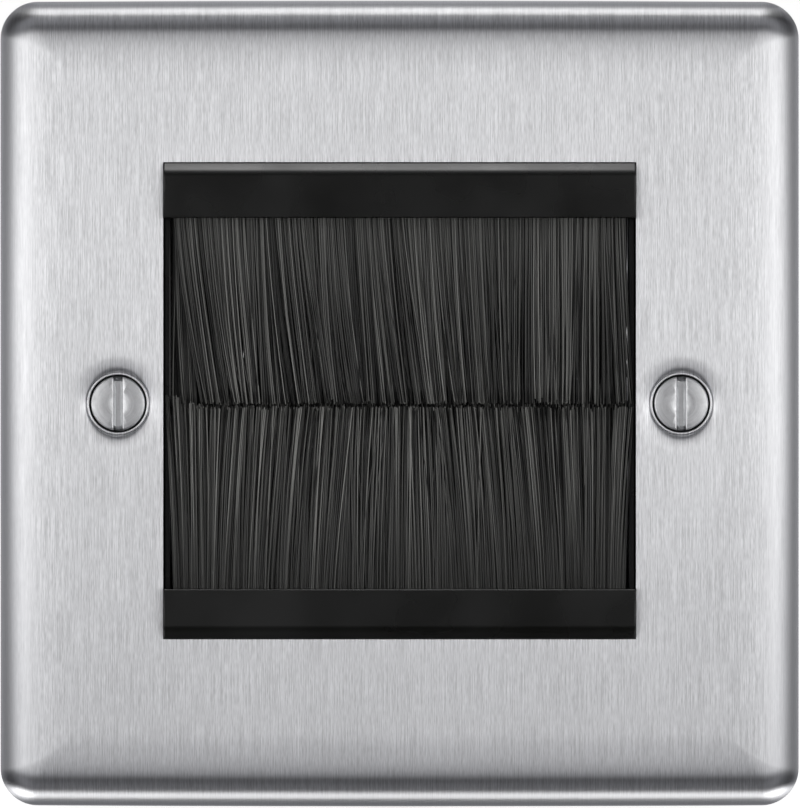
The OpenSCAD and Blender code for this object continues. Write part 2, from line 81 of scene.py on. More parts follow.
# ---------------------------------------------------------------------------------------------- meshes
class Shell:
    """Gathers grids and loops of points and turns them into one mesh, welded where points meet."""

    def __init__(self) -> None:
        """Starts an empty shell."""
        self.points: list[np.ndarray] = []
        self.lay: list[np.ndarray] = []
        self.faces: list[tuple[int, ...]] = []
        self.count = 0

    def add_points(self, points: np.ndarray, lay: np.ndarray | None = None) -> int:
        """Adds loose points.

        Args:
            points: Array of shape (N, 3), in metres.
            lay: Array of shape (N, 2) of the way the finish lies, or None for x and z.

        Returns:
            The index of the first one.
        """
        first = self.count
        self.points.append(points.reshape(-1, 3))
        self.lay.append((points[..., [0, 2]] if lay is None else lay).reshape(-1, 2))
        self.count += len(self.points[-1])
        return first

    def add_grid(self, points: np.ndarray, lay: np.ndarray | None = None,
                 wrap_rows: bool = False, wrap_columns: bool = False) -> int:
        """Adds a grid of quads: neighbours in rows and columns are joined.

        Args:
            points: Array of shape (rows, columns, 3), in metres.
            lay: Array of shape (rows, columns, 2), or None for x and z.
            wrap_rows: Joins the last row to the first.
            wrap_columns: Joins the last column to the first.

        Returns:
            The index of the first point.
        """
        rows, columns = points.shape[:2]
        first = self.add_points(points, lay)
        index = np.arange(rows * columns).reshape(rows, columns) + first
        if wrap_rows:
            index = np.vstack([index, index[:1]])
        if wrap_columns:
            index = np.hstack([index, index[:, :1]])
        quads = np.stack([index[:-1, :-1], index[:-1, 1:], index[1:, 1:], index[1:, :-1]], axis=-1)
        self.faces += [tuple(q) for q in quads.reshape(-1, 4).tolist()]
        return first

    def add_flat(self, loops: list[np.ndarray]) -> None:
        """Fills the space between an outer loop and the loops inside it, each of shape (N, 3)."""
        first = self.add_points(np.vstack(loops))
        for tri in tessellate_polygon([[tuple(p) for p in loop] for loop in loops]):
            self.faces.append(tuple(first + int(i) for i in tri))

    def build(self, name: str, smooth_below: float = 40.0) -> bpy.types.Object:
        """Welds the points, makes the mesh and turns its faces outwards.

        Args:
            name: Name of the piece.
            smooth_below: Edges between faces that turn by less than this, in degrees, are smooth.

        Returns:
            The object, linked to the scene.
        """
        points = np.vstack(self.points)
        lay = np.vstack(self.lay)
        keys = np.round(points * 2e7).astype(np.int64)
        _, keep, weld = np.unique(keys, axis=0, return_index=True, return_inverse=True)
        weld = weld.reshape(-1)
        faces, corners = [], []
        for face in self.faces:
            ring, at = [], []
            for i in face:
                if int(weld[i]) not in ring:
                    ring.append(int(weld[i]))
                    at.append(i)
            if len(ring) > 2:
                faces.append(ring)
                corners += at
        mesh = bpy.data.meshes.new(name)
        mesh.from_pydata(points[keep].tolist(), [], faces)
        layer = mesh.uv_layers.new(name="lay")
        layer.data.foreach_set("uv", (lay[np.array(corners)] / MM).astype(np.float32).ravel())
        return finish_mesh(mesh, name, smooth_below)


def finish_mesh(mesh: bpy.types.Mesh, name: str, smooth_below: float = 40.0) -> bpy.types.Object:
    """Turns a closed mesh's faces outwards, marks its sharp edges and links it as an object.

    Args:
        mesh: The mesh.
        name: Name of the piece.
        smooth_below: Angle in degrees below which an edge is smooth.

    Returns:
        The object.
    """
    work = bmesh.new()
    work.from_mesh(mesh)
    bmesh.ops.recalc_face_normals(work, faces=work.faces)
    work.to_mesh(mesh)
    work.free()
    mesh.polygons.foreach_set("use_smooth", np.ones(len(mesh.polygons), dtype=bool))
    mesh.set_sharp_from_angle(angle=math.radians(smooth_below))
    mesh.update()
    piece = bpy.data.objects.new(name, mesh)
    bpy.context.scene.collection.objects.link(piece)
    return piece


def hold_normals(piece: bpy.types.Object) -> None:
    """Gives large flat faces the last word on shading, so that they stay flat up to their edges."""
    steady = piece.modifiers.new("steady shading", "WEIGHTED_NORMAL")
    steady.keep_sharp = True
    steady.weight = 90


def soften_edges(piece: bpy.types.Object, width: float, steps: int = 2, above: float = 30.0) -> None:
    """Breaks a piece's sharp edges as a mould or a tumbler leaves them.

    Args:
        piece: The piece.
        width: Width of the broken edge, in metres.
        steps: Faces across it.
        above: Only edges that turn by more than this, in degrees.
    """
    edge = piece.modifiers.new("broken edges", "BEVEL")
    edge.width, edge.segments = width, steps
    edge.limit_method, edge.angle_limit = "ANGLE", math.radians(above)
    edge.harden_normals = False
    edge.use_clamp_overlap = True


def merged_copy(node: str, name: str, smooth_below: float = 35.0) -> bpy.types.Object:
    """Copies a node of the frame with its doubled corners merged and its flat faces joined.

    Args:
        node: Name of the node.
        name: Name of the new piece.
        smooth_below: Angle in degrees below which an edge is smooth.

    Returns:
        The copy, which doesn't yet replace the node.
    """
    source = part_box
    del source
    mesh = bpy.data.meshes.new(name)
    work = bmesh.new()
    work.from_mesh(FRAME["nodes"][node].data)
    bmesh.ops.remove_doubles(work, verts=work.verts, dist=2e-7)
    bmesh.ops.dissolve_limit(work, angle_limit=math.radians(0.5), verts=work.verts, edges=work.edges)
    work.to_mesh(mesh)
    work.free()
    return finish_mesh(mesh, name, smooth_below)


def revolve(profile: np.ndarray, centre: tuple[float, float], turns: int = 72) -> np.ndarray:
    """Carries a profile round an axis along Y.

    Args:
        profile: Array of shape (N, 2): radius, and y.
        centre: x and z of the axis.
        turns: Points round the axis.

    Returns:
        Array of shape (N, turns, 3); the last turn isn't repeated.
    """
    angle = np.linspace(0, 2 * np.pi, turns, endpoint=False)
    radius = profile[:, :1]
    return np.stack([centre[0] + radius * np.cos(angle), np.broadcast_to(profile[:, 1:], (len(profile), turns)),
                     centre[1] + radius * np.sin(angle)], axis=-1)


FRAME: dict = {}


# ---------------------------------------------------------------------------------------------- finishes
class Socket(Enum):
    """Kinds of socket on a shared node group."""

    VECTOR = "NodeSocketVector"
    FLOAT = "NodeSocketFloat"


class Nodes:
    """A small helper that places nodes in a tree and joins them."""

    def __init__(self, tree: bpy.types.NodeTree) -> None:
        """Keeps the tree that nodes go into."""
        self.tree = tree

    def add(self, kind: str, **settings: object) -> bpy.types.Node:
        """Adds a node; settings are its own properties."""
        node = self.tree.nodes.new(kind)
        for key, value in settings.items():
            setattr(node, key, value)
        return node

    def join(self, out: bpy.types.NodeSocket, into: bpy.types.NodeSocket) -> None:
        """Joins an output to an input."""
        self.tree.links.new(out, into)

    def scaled(self, source: bpy.types.NodeSocket, scale: tuple[float, float, float]) -> bpy.types.NodeSocket:
        """Stretches coordinates by a plain scale and gives the result's socket."""
        mapping = self.add("ShaderNodeMapping")
        mapping.inputs["Scale"].default_value = scale
        self.join(source, mapping.inputs["Vector"])
        return mapping.outputs["Vector"]

    def noise(self, source: bpy.types.NodeSocket, scale: float, detail: float = 3.0,
              rough: float = 0.5) -> bpy.types.NodeSocket:
        """Fractal noise at the coordinates, as a value about 0.5."""
        node = self.add("ShaderNodeTexNoise")
        node.inputs["Scale"].default_value = scale
        node.inputs["Detail"].default_value = detail
        node.inputs["Roughness"].default_value = rough
        self.join(source, node.inputs["Vector"])
        return node.outputs["Fac"]

    def math(self, kind: str, *values: object) -> bpy.types.NodeSocket:
        """A Math node on sockets or plain numbers."""
        node = self.add("ShaderNodeMath", operation=kind)
        for slot, value in zip(node.inputs, values):
            if isinstance(value, bpy.types.NodeSocket):
                self.join(value, slot)
            else:
                slot.default_value = value
        return node.outputs[0]

    def span(self, value: bpy.types.NodeSocket, low: float, high: float, to_low: float,
             to_high: float) -> bpy.types.NodeSocket:
        """Carries a value from one range to another and holds it there."""
        node = self.add("ShaderNodeMapRange")
        for slot, number in zip(("From Min", "From Max", "To Min", "To Max"), (low, high, to_low, to_high)):
            node.inputs[slot].default_value = number
        self.join(value, node.inputs["Value"])
        return node.outputs["Result"]

    def blend(self, fac: bpy.types.NodeSocket, one: tuple[float, ...] | bpy.types.NodeSocket,
              other: tuple[float, ...] | bpy.types.NodeSocket) -> bpy.types.NodeSocket:
        """Mixes two colours by a value."""
        node = self.add("ShaderNodeMix", data_type="RGBA")
        self.join(fac, node.inputs[0])
        for slot, colour in ((node.inputs[6], one), (node.inputs[7], other)):
            if isinstance(colour, bpy.types.NodeSocket):
                self.join(colour, slot)
            else:
                slot.default_value = (*colour, 1.0)
        return node.outputs[2]

    def bump(self, height: bpy.types.NodeSocket, distance: float, strength: float = 1.0) -> bpy.types.NodeSocket:
        """A bump of a height in metres."""
        node = self.add("ShaderNodeBump")
        node.inputs["Distance"].default_value = distance
        node.inputs["Strength"].default_value = strength
        self.join(height, node.inputs["Height"])
        return node.outputs["Normal"]


def shared_group(name: str, inputs: dict[str, tuple[Socket, object]], outputs: list[str]) -> tuple:
    """Makes an empty shared group with named inputs and value outputs.

    Args:
        name: Name of the group.
        inputs: Kind and default of each input.
        outputs: Names of the value outputs.

    Returns:
        The tree, its Nodes helper, its input node and its output node.
    """
    tree = bpy.data.node_groups.new(name, "ShaderNodeTree")
    for key, (kind, default) in inputs.items():
        socket = tree.interface.new_socket(name=key, in_out="INPUT", socket_type=kind.value)
        if default is not None:
            socket.default_value = default
    for key in outputs:
        tree.interface.new_socket(name=key, in_out="OUTPUT", socket_type=Socket.FLOAT.value)
    nodes = Nodes(tree)
    return tree, nodes, nodes.add("NodeGroupInput"), nodes.add("NodeGroupOutput")


def brushed_lay_group() -> bpy.types.NodeTree:
    """Brush marks that run along the second coordinate, which is in millimetres like the first.

    Fine noise is stretched along the marks at three widths; Tone is the mix of all of them, Marks only the
    fine ones and Cloud the slow change of tone over the sheet.
    """
    tree, n, start, end = shared_group("brushed lay", {"Lay": (Socket.VECTOR, None)}, ["Tone", "Marks", "Cloud"])
    lay = start.outputs["Lay"]
    fine = n.noise(n.scaled(lay, (9.0, 0.18, 1.0)), 1.0, 1.0, 0.6)
    hair = n.noise(n.scaled(lay, (12.0, 0.9, 1.0)), 1.0, 1.0, 0.6)
    broad = n.noise(n.scaled(lay, (1.3, 0.05, 1.0)), 1.0, 2.0, 0.55)
    cloud = n.noise(n.scaled(lay, (0.05, 0.03, 1.0)), 1.0, 2.0, 0.5)
    marks = n.math("ADD", n.math("MULTIPLY", fine, 0.55), n.math("MULTIPLY", hair, 0.45))
    tone = n.math("ADD", n.math("MULTIPLY", marks, 0.88), n.math("MULTIPLY", broad, 0.12))
    for name, value in (("Tone", tone), ("Marks", marks), ("Cloud", cloud)):
        n.join(value, end.inputs[name])
    return tree


def moulded_grain_group() -> bpy.types.NodeTree:
    """Spark-eroded grain of a mould: fine even noise, with slow patches where it is more worn."""
    tree, n, start, end = shared_group("moulded grain", {"Place": (Socket.VECTOR, None),
                                                         "Size": (Socket.FLOAT, 4000.0)}, ["Grain", "Patch"])
    node = n.add("ShaderNodeTexNoise")
    node.inputs["Detail"].default_value = 2.0
    n.join(start.outputs["Place"], node.inputs["Vector"])
    n.join(start.outputs["Size"], node.inputs["Scale"])
    n.join(node.outputs["Fac"], end.inputs["Grain"])
    n.join(n.noise(start.outputs["Place"], 90.0, 3.0), end.inputs["Patch"])
    return tree


def dust_group() -> bpy.types.NodeTree:
    """Fine dust and lint: small flecks, more of them on faces that look up."""
    tree, n, start, end = shared_group("dust", {"Place": (Socket.VECTOR, None), "Facing": (Socket.FLOAT, 0.0)},
                                       ["Flecks", "Film"])
    cells = n.add("ShaderNodeTexVoronoi")
    cells.inputs["Scale"].default_value = 420.0
    n.join(start.outputs["Place"], cells.inputs["Vector"])
    patch = n.noise(start.outputs["Place"], 160.0, 2.0)
    dot = n.span(cells.outputs["Distance"], 0.03, 0.07, 1.0, 0.0)
    n.join(n.math("MULTIPLY", dot, n.span(patch, 0.56, 0.7, 0.0, 1.0)), end.inputs["Flecks"])
    film = n.math("MULTIPLY", n.span(start.outputs["Facing"], 0.1, 1.0, 0.0, 1.0),
                  n.span(n.noise(start.outputs["Place"], 60.0, 4.0), 0.35, 0.75, 0.2, 1.0))
    n.join(film, end.inputs["Film"])
    return tree


class SharedEffects:
    """The node groups that more than one finish uses, built once."""

    def __init__(self) -> None:
        """Builds the groups."""
        self.lay = brushed_lay_group()
        self.grain = moulded_grain_group()
        self.dust = dust_group()


def new_material(name: str) -> tuple[bpy.types.Material, Nodes, bpy.types.Node]:
    """Makes a material with a lone surface shader.

    Args:
        name: Name of the material.

    Returns:
        The material, the Nodes helper on it and its surface shader.
    """
    material = bpy.data.materials.new(name)
    material.use_nodes = True
    nodes = Nodes(material.node_tree)
    return material, nodes, material.node_tree.nodes["Principled BSDF"]


def place_of(n: Nodes) -> bpy.types.NodeSocket:
    """Object coordinates, in metres."""
    return n.add("ShaderNodeTexCoord").outputs["Object"]


def facing_up(n: Nodes) -> bpy.types.NodeSocket:
    """How far the surface looks up, from -1 to 1."""
    split = n.add("ShaderNodeSeparateXYZ")
    n.join(n.add("ShaderNodeNewGeometry").outputs["Normal"], split.inputs[0])
    return split.outputs["Z"]


def group_node(n: Nodes, tree: bpy.types.NodeTree, **sources: object) -> bpy.types.Node:
    """Places a shared group and joins or sets its inputs."""
    node = n.add("ShaderNodeGroup", node_tree=tree)
    for key, source in sources.items():
        if isinstance(source, bpy.types.NodeSocket):
            n.join(source, node.inputs[key])
        else:
            node.inputs[key].default_value = source
    return node


@dataclass(frozen=True)
class BrushedSteel:
    """Sheet steel with a vertical brushed lay, which follows the piece's own lay coordinates."""

    name: str
    pale: tuple[float, float, float] = (0.845, 0.848, 0.866)
    dull: tuple[float, float, float] = (0.53, 0.532, 0.543)
    roughness: float = 0.35
    spread: float = 0.9
    depth: float = 0.0000025

    def make(self, fx: SharedEffects) -> bpy.types.Material:
        """Builds the material: tone and roughness from the lay, spread across it, and a shallow bump."""
        material, n, shader = new_material(self.name)
        uv = n.add("ShaderNodeUVMap", uv_map="lay").outputs["UV"]
        lay = group_node(n, fx.lay, Lay=uv)
        split = n.add("ShaderNodeSeparateXYZ")
        n.join(place_of(n), split.inputs[0])
        rolled = n.math("MAXIMUM", n.span(n.math("ABSOLUTE", split.outputs["X"]), 0.0379, 0.0398, 0.0, 0.65),
                        n.span(n.math("ABSOLUTE", split.outputs["Z"]), 0.0412, 0.0421, 0.0, 0.7))
        lines = n.span(lay.outputs["Tone"], 0.38, 0.62, -0.5, 0.5)
        tone = n.math("ADD", n.math("MULTIPLY", lines, n.math("SUBTRACT", 0.95, rolled)), 0.5)
        cloudy = n.span(lay.outputs["Cloud"], 0.3, 0.7, -0.06, 0.06)
        n.join(n.blend(n.math("ADD", tone, cloudy), self.dull, self.pale), shader.inputs["Base Color"])
        rough = n.span(lay.outputs["Marks"], 0.35, 0.65, self.roughness + 0.03, self.roughness - 0.03)
        n.join(rough, shader.inputs["Roughness"])
        shader.inputs["Metallic"].default_value = 1.0
        shader.inputs["Anisotropic"].default_value = self.spread
        tangent = n.add("ShaderNodeTangent", direction_type="UV_MAP", uv_map="lay")
        n.join(tangent.outputs["Tangent"], shader.inputs["Tangent"])
        n.join(n.bump(lay.outputs["Marks"], self.depth), shader.inputs["Normal"])
        return material


@dataclass(frozen=True)
class Moulding:
    """Moulded plastic or foam: grain from the mould, worn patches, dust where it looks up."""

    name: str
    colour: tuple[float, float, float]
    worn: tuple[float, float, float]
    roughness: float = 0.45
    gloss: float = 0.5
    grain: float = 4000.0
    depth: float = 0.00001
    dusty: float = 0.25

    def make(self, fx: SharedEffects) -> bpy.types.Material:
        """Builds the material."""
        material, n, shader = new_material(self.name)
        place = place_of(n)
        grain = group_node(n, fx.grain, Place=place, Size=self.grain)
        dust = group_node(n, fx.dust, Place=place, Facing=facing_up(n))
        patch = n.span(grain.outputs["Patch"], 0.35, 0.7, 0.0, 1.0)
        clean = n.blend(patch, self.colour, self.worn)
        film = n.math("MULTIPLY", dust.outputs["Film"], self.dusty * 0.25)
        flecks = n.math("MULTIPLY", dust.outputs["Flecks"], self.dusty)
        n.join(n.blend(n.math("MAXIMUM", film, flecks), clean, (0.42, 0.41, 0.39)), shader.inputs["Base Color"])
        n.join(n.span(grain.outputs["Patch"], 0.3, 0.7, self.roughness + 0.06, self.roughness - 0.06),
               shader.inputs["Roughness"])
        shader.inputs["Specular IOR Level"].default_value = self.gloss
        n.join(n.bump(grain.outputs["Grain"], self.depth), shader.inputs["Normal"])
        return material


@dataclass(frozen=True)
class Metal:
    """Plain worked metal: rolled, turned, drawn, plated or cast, by the stretch of its marks."""

    name: str
    bright: tuple[float, float, float]
    dull: tuple[float, float, float]
    roughness: float = 0.3
    stretch: tuple[float, float, float] = (900.0, 900.0, 900.0)
    depth: float = 0.000006
    tarnish: float = 0.5

    def make(self, fx: SharedEffects) -> bpy.types.Material:
        """Builds the material: marks stretched along the metal's working, under a slow tarnish."""
        material, n, shader = new_material(self.name)
        place = place_of(n)
        marks = n.noise(n.scaled(place, self.stretch), 1.0, 4.0, 0.6)
        stain = n.span(n.noise(place, 260.0, 4.0), 0.4, 0.7, 0.0, self.tarnish)
        tone = n.math("MAXIMUM", stain, n.span(marks, 0.35, 0.65, 0.35, 0.0))
        n.join(n.blend(tone, self.bright, self.dull), shader.inputs["Base Color"])
        n.join(n.span(marks, 0.3, 0.7, self.roughness + 0.08, self.roughness - 0.05), shader.inputs["Roughness"])
        shader.inputs["Metallic"].default_value = 1.0
        n.join(n.bump(marks, self.depth), shader.inputs["Normal"])
        return material


@dataclass(frozen=True)
class TurnedFace:
    """Nickel-plated steel faced on a lathe: its marks are rings, so it shines sideways from its centre."""

    name: str
    bright: tuple[float, float, float] = (0.88, 0.885, 0.895)
    dull: tuple[float, float, float] = (0.72, 0.724, 0.732)
    roughness: float = 0.4

    def make(self, fx: SharedEffects) -> bpy.types.Material:
        """Builds the material from the head's own lay: distance out, then round."""
        material, n, shader = new_material(self.name)
        uv = n.add("ShaderNodeUVMap", uv_map="lay").outputs["UV"]
        rings = n.noise(n.scaled(uv, (7.0, 0.25, 1.0)), 1.0, 3.0, 0.6)
        scuffs = n.noise(place_of(n), 1400.0, 4.0, 0.65)
        tone = n.math("ADD", n.math("MULTIPLY", rings, 0.55), n.math("MULTIPLY", scuffs, 0.45))
        n.join(n.blend(n.span(tone, 0.38, 0.62, 0.0, 1.0), self.dull, self.bright), shader.inputs["Base Color"])
        n.join(n.span(scuffs, 0.3, 0.7, self.roughness + 0.08, self.roughness - 0.06), shader.inputs["Roughness"])
        shader.inputs["Metallic"].default_value = 1.0
        shader.inputs["Anisotropic"].default_value = 0.05
        tangent = n.add("ShaderNodeTangent", direction_type="UV_MAP", uv_map="lay")
        n.join(tangent.outputs["Tangent"], shader.inputs["Tangent"])
        n.join(n.bump(scuffs, 0.000004), shader.inputs["Normal"])
        return material


@dataclass(frozen=True)
class Bristle:
    """Black nylon filament: each has its own tone, with painted light that makes it paler towards the top of each brush
    and at its root and tip, and painted shade on the rear layers.
    """

    name: str
    deep: tuple[float, float, float] = (0.005, 0.005, 0.0047)
    light: tuple[float, float, float] = (0.26, 0.26, 0.248)

    def make(self, fx: SharedEffects) -> bpy.types.Material:
        """Builds the material from the filaments' tone attribute, which holds their own tone with painted light and
        shade.
        """
        material, n, shader = new_material(self.name)
        tone = n.add("ShaderNodeAttribute", attribute_name="tone").outputs["Fac"]
        dust = group_node(n, fx.dust, Place=place_of(n), Facing=0.0)
        body = n.blend(tone, self.deep, self.light)
        speck = n.math("MULTIPLY", dust.outputs["Flecks"], 0.2)
        n.join(n.blend(speck, body, (0.35, 0.35, 0.36)), shader.inputs["Base Color"])
        n.join(n.span(tone, 0.0, 1.0, 0.46, 0.3), shader.inputs["Roughness"])
        shader.inputs["Specular IOR Level"].default_value = 0.5
        return material


# ---------------------------------------------------------------------------------------------- pieces
@dataclass
class FacePlate:
    """The pressed steel plate: crowned rim, soft roll, square aperture and two dished holes."""

    half_w: float = 42.9 * MM
    half_h: float = 43.3 * MM
    depth: float = 5.0 * MM
    sheet: float = 0.9 * MM
    corner: float = 4.0 * MM
    inner_roll: float = 2.9 * MM
    crown: float = 0.13 * MM
    flat_from: float = 8.0 * MM
    aperture_x: float = 25.3 * MM
    aperture_low: float = -25.2 * MM
    aperture_high: float = 25.8 * MM
    cut_edge: float = 0.05 * MM
    screw_x: float = 30.15 * MM
    hole_r: float = 3.1 * MM
    dish_r: float = 5.35 * MM
    lip_end: float = 3.2 * MM
    roll_slopes: tuple[tuple[float, float], ...] = (
        (0.0, 84.0), (0.25, 73.0), (0.53, 62.0), (1.07, 47.0), (1.6, 35.0), (2.0, 27.0), (2.8, 15.0), (3.4, 9.0),
        (3.85, 7.0), (5.35, 3.0), (7.4, 0.7), (8.0, 0.0))
    lip_slopes: tuple[tuple[float, float], ...] = (
        (3.1, 84.0), (3.108, 55.0), (3.12, 17.0), (3.15, 11.0), (3.21, 0.0), (3.27, -11.0), (3.3, -19.0),
        (3.315, -45.0), (3.325, -73.0), (3.37, -75.0), (3.385, 0.0), (3.4, 73.0), (3.43, 73.0), (3.455, 50.0),
        (3.49, 31.0), (3.53, 19.0), (3.62, 15.2), (3.78, 13.0), (3.96, 9.8), (4.3, 6.3), (4.7, 4.0),
        (5.0, 2.0), (5.35, 0.0))

    @staticmethod
    def slope_drop(slopes: tuple[tuple[float, float], ...], at: np.ndarray) -> np.ndarray:
        """How far a surface has fallen at a distance, in metres.

        The slope angle runs in straight lines between the given pairs of distance in millimetres and angle in
        degrees; the fall is the sum of its tangent from the far end back to the distance.
        """
        distance = np.array([s[0] for s in slopes])
        fine = np.linspace(distance[0], distance[-1], 4001)
        angle = np.interp(fine, distance, [s[1] for s in slopes])
        kernel = np.ones(5) / 5
        padded = np.pad(angle, 2, mode="edge")
        angle = np.convolve(padded, kernel, mode="valid")
        step = fine[1] - fine[0]
        fall = np.cumsum(np.tan(np.radians(angle))[::-1])[::-1] * step
        fall -= fall[-1]
        return np.interp(at / MM, fine, fall) * MM

    def outline(self, inset: np.ndarray, radius: np.ndarray, side: int = 28, bend: int = 18) -> tuple:
        """Rounded rectangles inside one another.

        Args:
            inset: Distance of each from the plate's outline, shape (K,).
            radius: Its corner radius, shape (K,).
            side: Points along a straight side.
            bend: Points round a corner.

        Returns:
            x and z of shape (K, S), and the outline's own lay of shape (S, 2) with the way out at each point.
        """
        a, b = (self.half_w - inset)[:, None], (self.half_h - inset)[:, None]
        r = radius[:, None]
        t = np.linspace(-1, 1, side, endpoint=False)[None, :]
        q = np.linspace(0, np.pi / 2, bend, endpoint=False)[None, :]
        xs, zs = [], []
        for turn in range(4):
            along, out = ((b - r), a) if turn % 2 == 0 else ((a - r), b)
            other = b if turn % 2 == 0 else a
            px = np.concatenate([out + 0 * t, (out - r) + r * np.cos(q)], axis=1)
            pz = np.concatenate([along * t, (other - r) + r * np.sin(q)], axis=1)
            for _ in range(turn):
                px, pz = -pz, px
            xs.append(px)
            zs.append(pz)
        return np.concatenate(xs, axis=1), np.concatenate(zs, axis=1)

    def crowned(self, points: np.ndarray) -> np.ndarray:
        """Lowers the top and bottom edges a little towards the corners: by the square of x and of z."""
        bent = points.copy()
        bent[..., 2] *= 1 - self.crown / self.half_h * (points[..., 0] / self.half_w) ** 2 \
            * (points[..., 2] / self.half_h) ** 2
        return bent

    def band(self, inset: np.ndarray, height: np.ndarray, radius: np.ndarray, arc: np.ndarray) -> tuple:
        """A band round the plate: one outline for each inset, at its height in front of the wall.

        The lay runs on over the roll: at the sides the first coordinate grows by the profile's arc length, at
        the top and bottom the second does, and a corner shares it by the way it looks.
        """
        x, z = self.outline(inset, radius)
        y = np.broadcast_to(-height[:, None], x.shape)
        points = self.crowned(np.stack([x, y, z], axis=-1))
        ref = self.outline(np.array([0.0]), np.array([self.corner]))
        out_x = np.clip((np.abs(ref[0][0]) - (self.half_w - self.corner)) / self.corner, 0, 1)
        out_z = np.clip((np.abs(ref[1][0]) - (self.half_h - self.corner)) / self.corner, 0, 1)
        over = (arc - inset * 0)[:, None]
        grow = over - (self.flat_from - inset)[:, None]
        lay = np.stack([x + np.sign(x) * grow * out_x, z + np.sign(z) * grow * out_z], axis=-1)
        return points, lay

    def front_height(self, x: np.ndarray, z: np.ndarray) -> np.ndarray:
        """Height of the outer face near the aperture: the plate's depth less the dish's fall."""
        r = np.hypot(np.abs(x) - self.screw_x, z)
        return self.depth - self.slope_drop(self.lip_slopes, np.minimum(r, self.dish_r))

    def opening(self, grow: float, corner_steps: int = 6) -> tuple[np.ndarray, np.ndarray]:
        """The aperture's outline, grown by a distance with round corners, with extra points by the dishes.

        Returns:
            x and z, each of shape (N,).
        """
        reach = math.sqrt(self.dish_r ** 2 - (self.screw_x - self.aperture_x) ** 2)
        side = np.concatenate([np.linspace(-1, -1e-9, 10, endpoint=False) * 0 - 1, []])
        del side
        low, high = self.aperture_low, self.aperture_high
        z_side = np.concatenate([np.linspace(low, -reach, 12, endpoint=False),
                                 np.linspace(-reach, reach, 24, endpoint=False), np.linspace(reach, high, 13)])
        x_top = np.linspace(self.aperture_x, -self.aperture_x, 25)
        q = np.linspace(0, np.pi / 2, corner_steps + 1)[1:-1]
        ax = self.aperture_x
        ring = [
            (ax + grow + 0 * z_side, z_side), (ax + grow * np.cos(q), high + grow * np.sin(q)),
            (x_top, high + grow + 0 * x_top), (-ax - grow * np.sin(q), high + grow * np.cos(q)),
            (-ax - grow + 0 * z_side, z_side[::-1]), (-ax - grow * np.cos(q), low - grow * np.sin(q)),
            (x_top[::-1], low - grow + 0 * x_top), (ax + grow * np.sin(q), low - grow * np.cos(q))]
        return np.concatenate([r[0] for r in ring]), np.concatenate([r[1] for r in ring])

    def dish(self, side: int, columns: int = 144) -> tuple[np.ndarray, np.ndarray]:
        """Outer face of one dish and its lip, cut off at the aperture.

        Round the screw's axis the radius runs from the hole to the dish's rim, or to the aperture's broken edge
        where that comes first, and the height is a function of the radius alone.

        Returns:
            Points of shape (rows, columns, 3), and the rim radius at each column.
        """
        angle = np.arange(columns) * 2 * np.pi / columns
        wall = (self.screw_x - self.aperture_x - self.cut_edge) / np.maximum(-np.cos(angle), 1e-6)
        rim = np.where(np.cos(angle) < -1e-3, np.minimum(self.dish_r, wall), self.dish_r)
        t = np.concatenate([np.linspace(0, 0.16, 34, endpoint=False), np.linspace(0.16, 1, 22)])[:, None]
        radius = self.hole_r + t * (rim - self.hole_r)[None, :]
        height = self.depth - self.slope_drop(self.lip_slopes, radius)
        x = side * (self.screw_x + radius * np.cos(angle))
        points = np.stack([x, -height, radius * np.sin(angle)], axis=-1)
        foot = points[:1].copy()
        foot[..., 1] = -self.lip_end
        return np.concatenate([foot, points]), rim

    def build(self, fx: SharedEffects) -> bpy.types.Object:
        """Makes the plate as one closed shell and dresses it.

        The outer skin is the roll band, the flat and the dishes; the inner skin follows the sheet's thickness,
        and strips close the rim, the aperture and the two lips.
        """
        shell = Shell()
        t = np.linspace(0, 1, 46) ** 1.55
        inset = t * self.flat_from
        height = self.depth - self.slope_drop(self.roll_slopes, inset)
        left = self.corner - inset
        radius = np.maximum((left + np.hypot(left, 3 * MM)) / 2 - 0.5 * MM, 0.03 * MM)
        arc = np.concatenate([[0.0], np.cumsum(np.hypot(np.diff(inset), np.diff(height)))])
        arc = arc[-1] - arc
        wall_h = np.linspace(0, height[0], 5)[:-1]
        inset = np.concatenate([0 * wall_h, inset])
        arc = np.concatenate([arc[0] + height[0] - wall_h, arc])
        radius = np.concatenate([0 * wall_h + self.corner, radius])
        height = np.concatenate([wall_h, height])
        outer, lay = self.band(inset, height, radius, arc)
        shell.add_grid(outer, lay, wrap_columns=True)

        q = np.linspace(0, np.pi / 2, 12)
        under = self.depth - self.sheet
        in_inset = self.sheet + self.inner_roll * (1 - np.cos(q))
        in_height = under - self.inner_roll + self.inner_roll * np.sin(q)
        in_inset = np.concatenate([[self.sheet], in_inset])
        in_height = np.concatenate([[0.0], in_height])
        in_radius = self.corner - in_inset
        in_radius = np.maximum(in_radius, 0.1 * MM)
        inner, in_lay = self.band(in_inset, in_height, in_radius, self.flat_from - in_inset)
        shell.add_grid(inner, in_lay, wrap_columns=True)
        shell.add_grid(np.stack([outer[0], inner[0]]), wrap_columns=True)

        self.add_openings(shell, outer[-1], inner[-1])
        piece = shell.build("pressed_steel_plate", 38.0)
        hold_normals(piece)
        piece.data.materials.append(BrushedSteel("brushed steel sheet").make(fx))
        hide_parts("face_plate")
        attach(piece, "root")
        return piece

